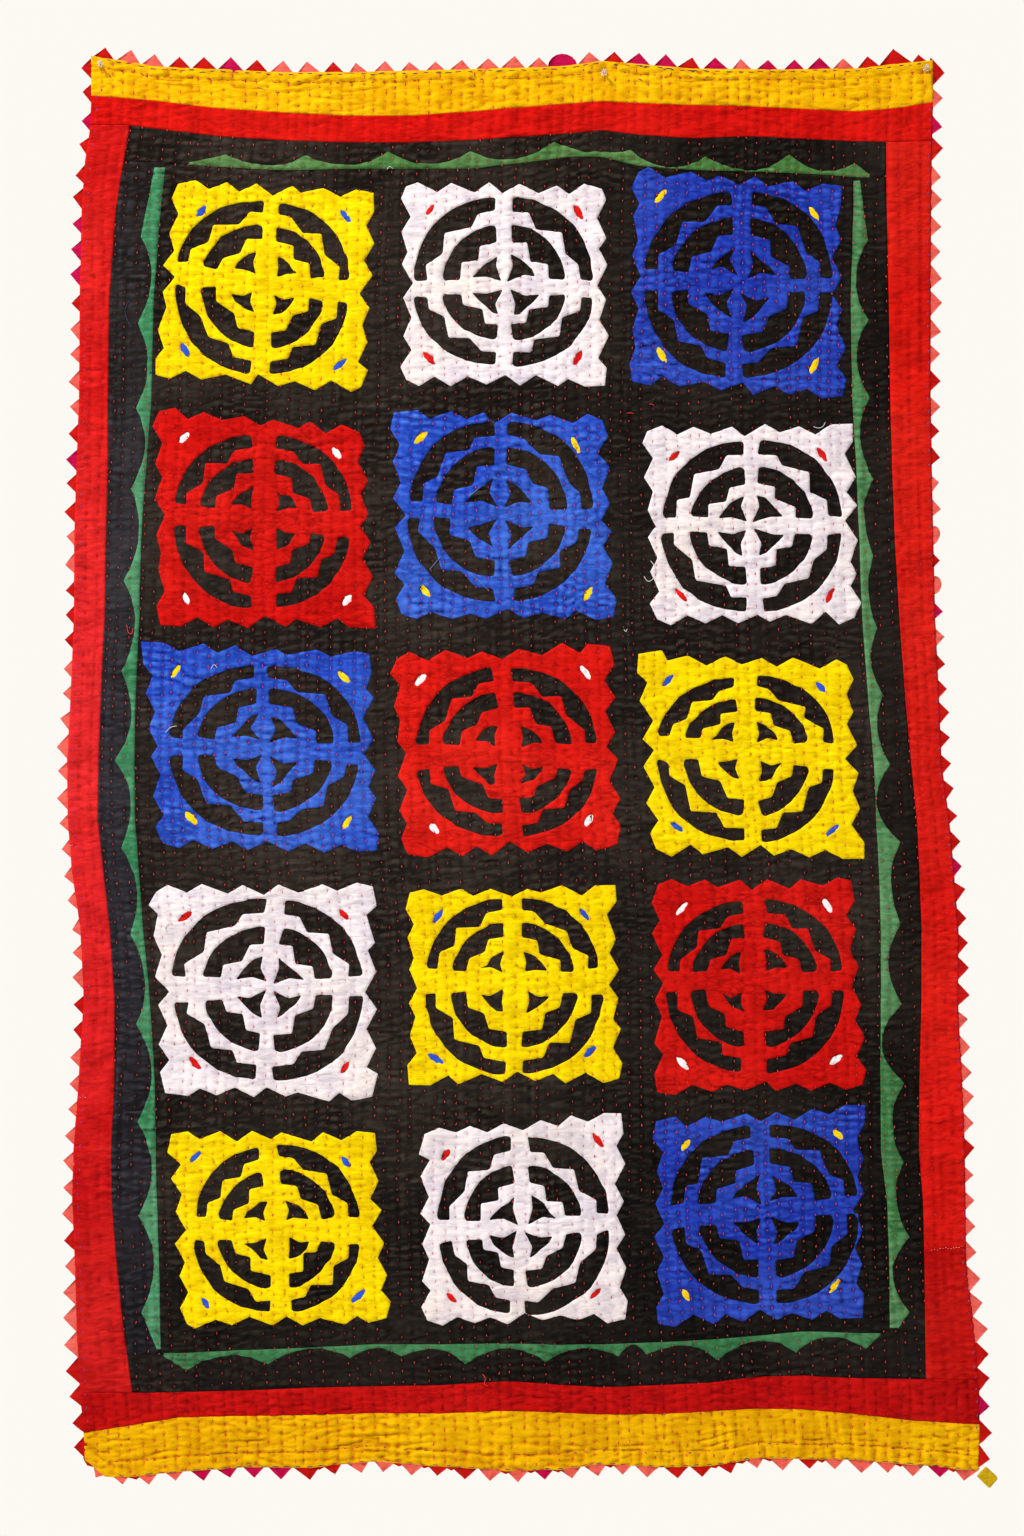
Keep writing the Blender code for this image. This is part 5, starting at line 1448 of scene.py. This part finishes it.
for q in (outline,):
    points += np.stack([q[:, 0], -(FACE - 1.4 + sample(H, q[:, 0], q[:, 1]) - 0.3), q[:, 1]], 1).tolist()
    hollow += [0.0] * n
points += [(centre[0], -(FACE - 1.4 + float(sample(H, centre[0], centre[1])) - 0.3), centre[1])]
hollow.append(0.0)
for r in range(4):
    for k in range(n):
        a, b = r * n + k, r * n + (k + 1) % n
        faces.append((a, b, b + n, a + n))
mid, low_ring = 5 * n, 5 * n + 1
for k in range(n):
    faces.append((4 * n + k, 4 * n + (k + 1) % n, mid))
    faces.append((low_ring + k, low_ring + (k + 1) % n, (k + 1) % n, k))
    faces.append((low_ring + (k + 1) % n, low_ring + k, low_ring + n))
tab = piece("corner_tab_cloth", points, faces, MATERIALS["olive"], values={"hollow": hollow})
finished(tab)
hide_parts("corner_tab")

# ------------------------------------------------------ camera, light and floor
scene = bpy.context.scene
scene.view_settings.view_transform = "Standard"
scene.view_settings.look = "None"
scene.view_settings.exposure = 0.0
scene.view_settings.gamma = 1.0

camera_data = bpy.data.cameras.new("camera")
camera_data.lens = 59.4
camera_data.sensor_width = 36.0
camera_data.dof.use_dof = False
camera = bpy.data.objects.new("camera", camera_data)
camera.location = (0.0, -3.808, -1.053)
camera.rotation_euler = (math.radians(90), 0, 0)
scene.collection.objects.link(camera)
scene.camera = camera

floor_mesh = bpy.data.meshes.new("floor")
floor_mesh.from_pydata([(-5, -5.5, -2.72), (5, -5.5, -2.72), (5, 1.4, -2.72), (-5, 1.4, -2.72)], [], [(0, 1, 2, 3)])
floor = bpy.data.objects.new("floor", floor_mesh)
scene.collection.objects.link(floor)
floor_paint = bpy.data.materials.new("pale_floor")
floor_paint.use_nodes = True
floor_paint.node_tree.nodes["Principled BSDF"].inputs["Base Color"].default_value = (0.82, 0.80, 0.77, 1)
floor_paint.node_tree.nodes["Principled BSDF"].inputs["Roughness"].default_value = 0.9
floor_mesh.materials.append(floor_paint)
floor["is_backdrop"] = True

world = bpy.data.worlds.new("studio")
scene.world = world
world.use_nodes = True
sky = world.node_tree.nodes["Background"]
sky.inputs["Color"].default_value = (0.93, 0.95, 1.0, 1)
sky.inputs["Strength"].default_value = 0.30
plain = world.node_tree.nodes.new("ShaderNodeBackground")
plain.inputs["Color"].default_value = (0.975, 0.945, 0.90, 1)
plain.inputs["Strength"].default_value = 1.0
rays = world.node_tree.nodes.new("ShaderNodeLightPath")
blend = world.node_tree.nodes.new("ShaderNodeMixShader")
world.node_tree.links.new(rays.outputs["Is Camera Ray"], blend.inputs[0])
world.node_tree.links.new(sky.outputs[0], blend.inputs[1])
world.node_tree.links.new(plain.outputs[0], blend.inputs[2])
world.node_tree.links.new(blend.outputs[0], world.node_tree.nodes["World Output"].inputs["Surface"])


def area_light(name, at, towards, size, watts, colour=(1, 1, 1)):
    data = bpy.data.lights.new(name, "AREA")
    data.shape = "SQUARE"
    data.size, data.energy, data.color = size, watts, colour
    obj = bpy.data.objects.new(name, data)
    obj.location = at
    obj.rotation_euler = (Vector(towards) - Vector(at)).to_track_quat("-Z", "Y").to_euler()
    scene.collection.objects.link(obj)


area_light("key", (-3.6, -4.0, 5.2), (0, 0, -1.05), 1.3, 880, (1.0, 0.985, 0.955))
area_light("back", (2.2, 4.5, 2.4), (0, 0, -1.1), 2.0, 260, (0.98, 0.99, 1.0))
area_light("fill", (-3.2, -3.8, -0.8), (0, 0, -1.2), 1.6, 22, (0.98, 0.99, 1.0))

low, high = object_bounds()
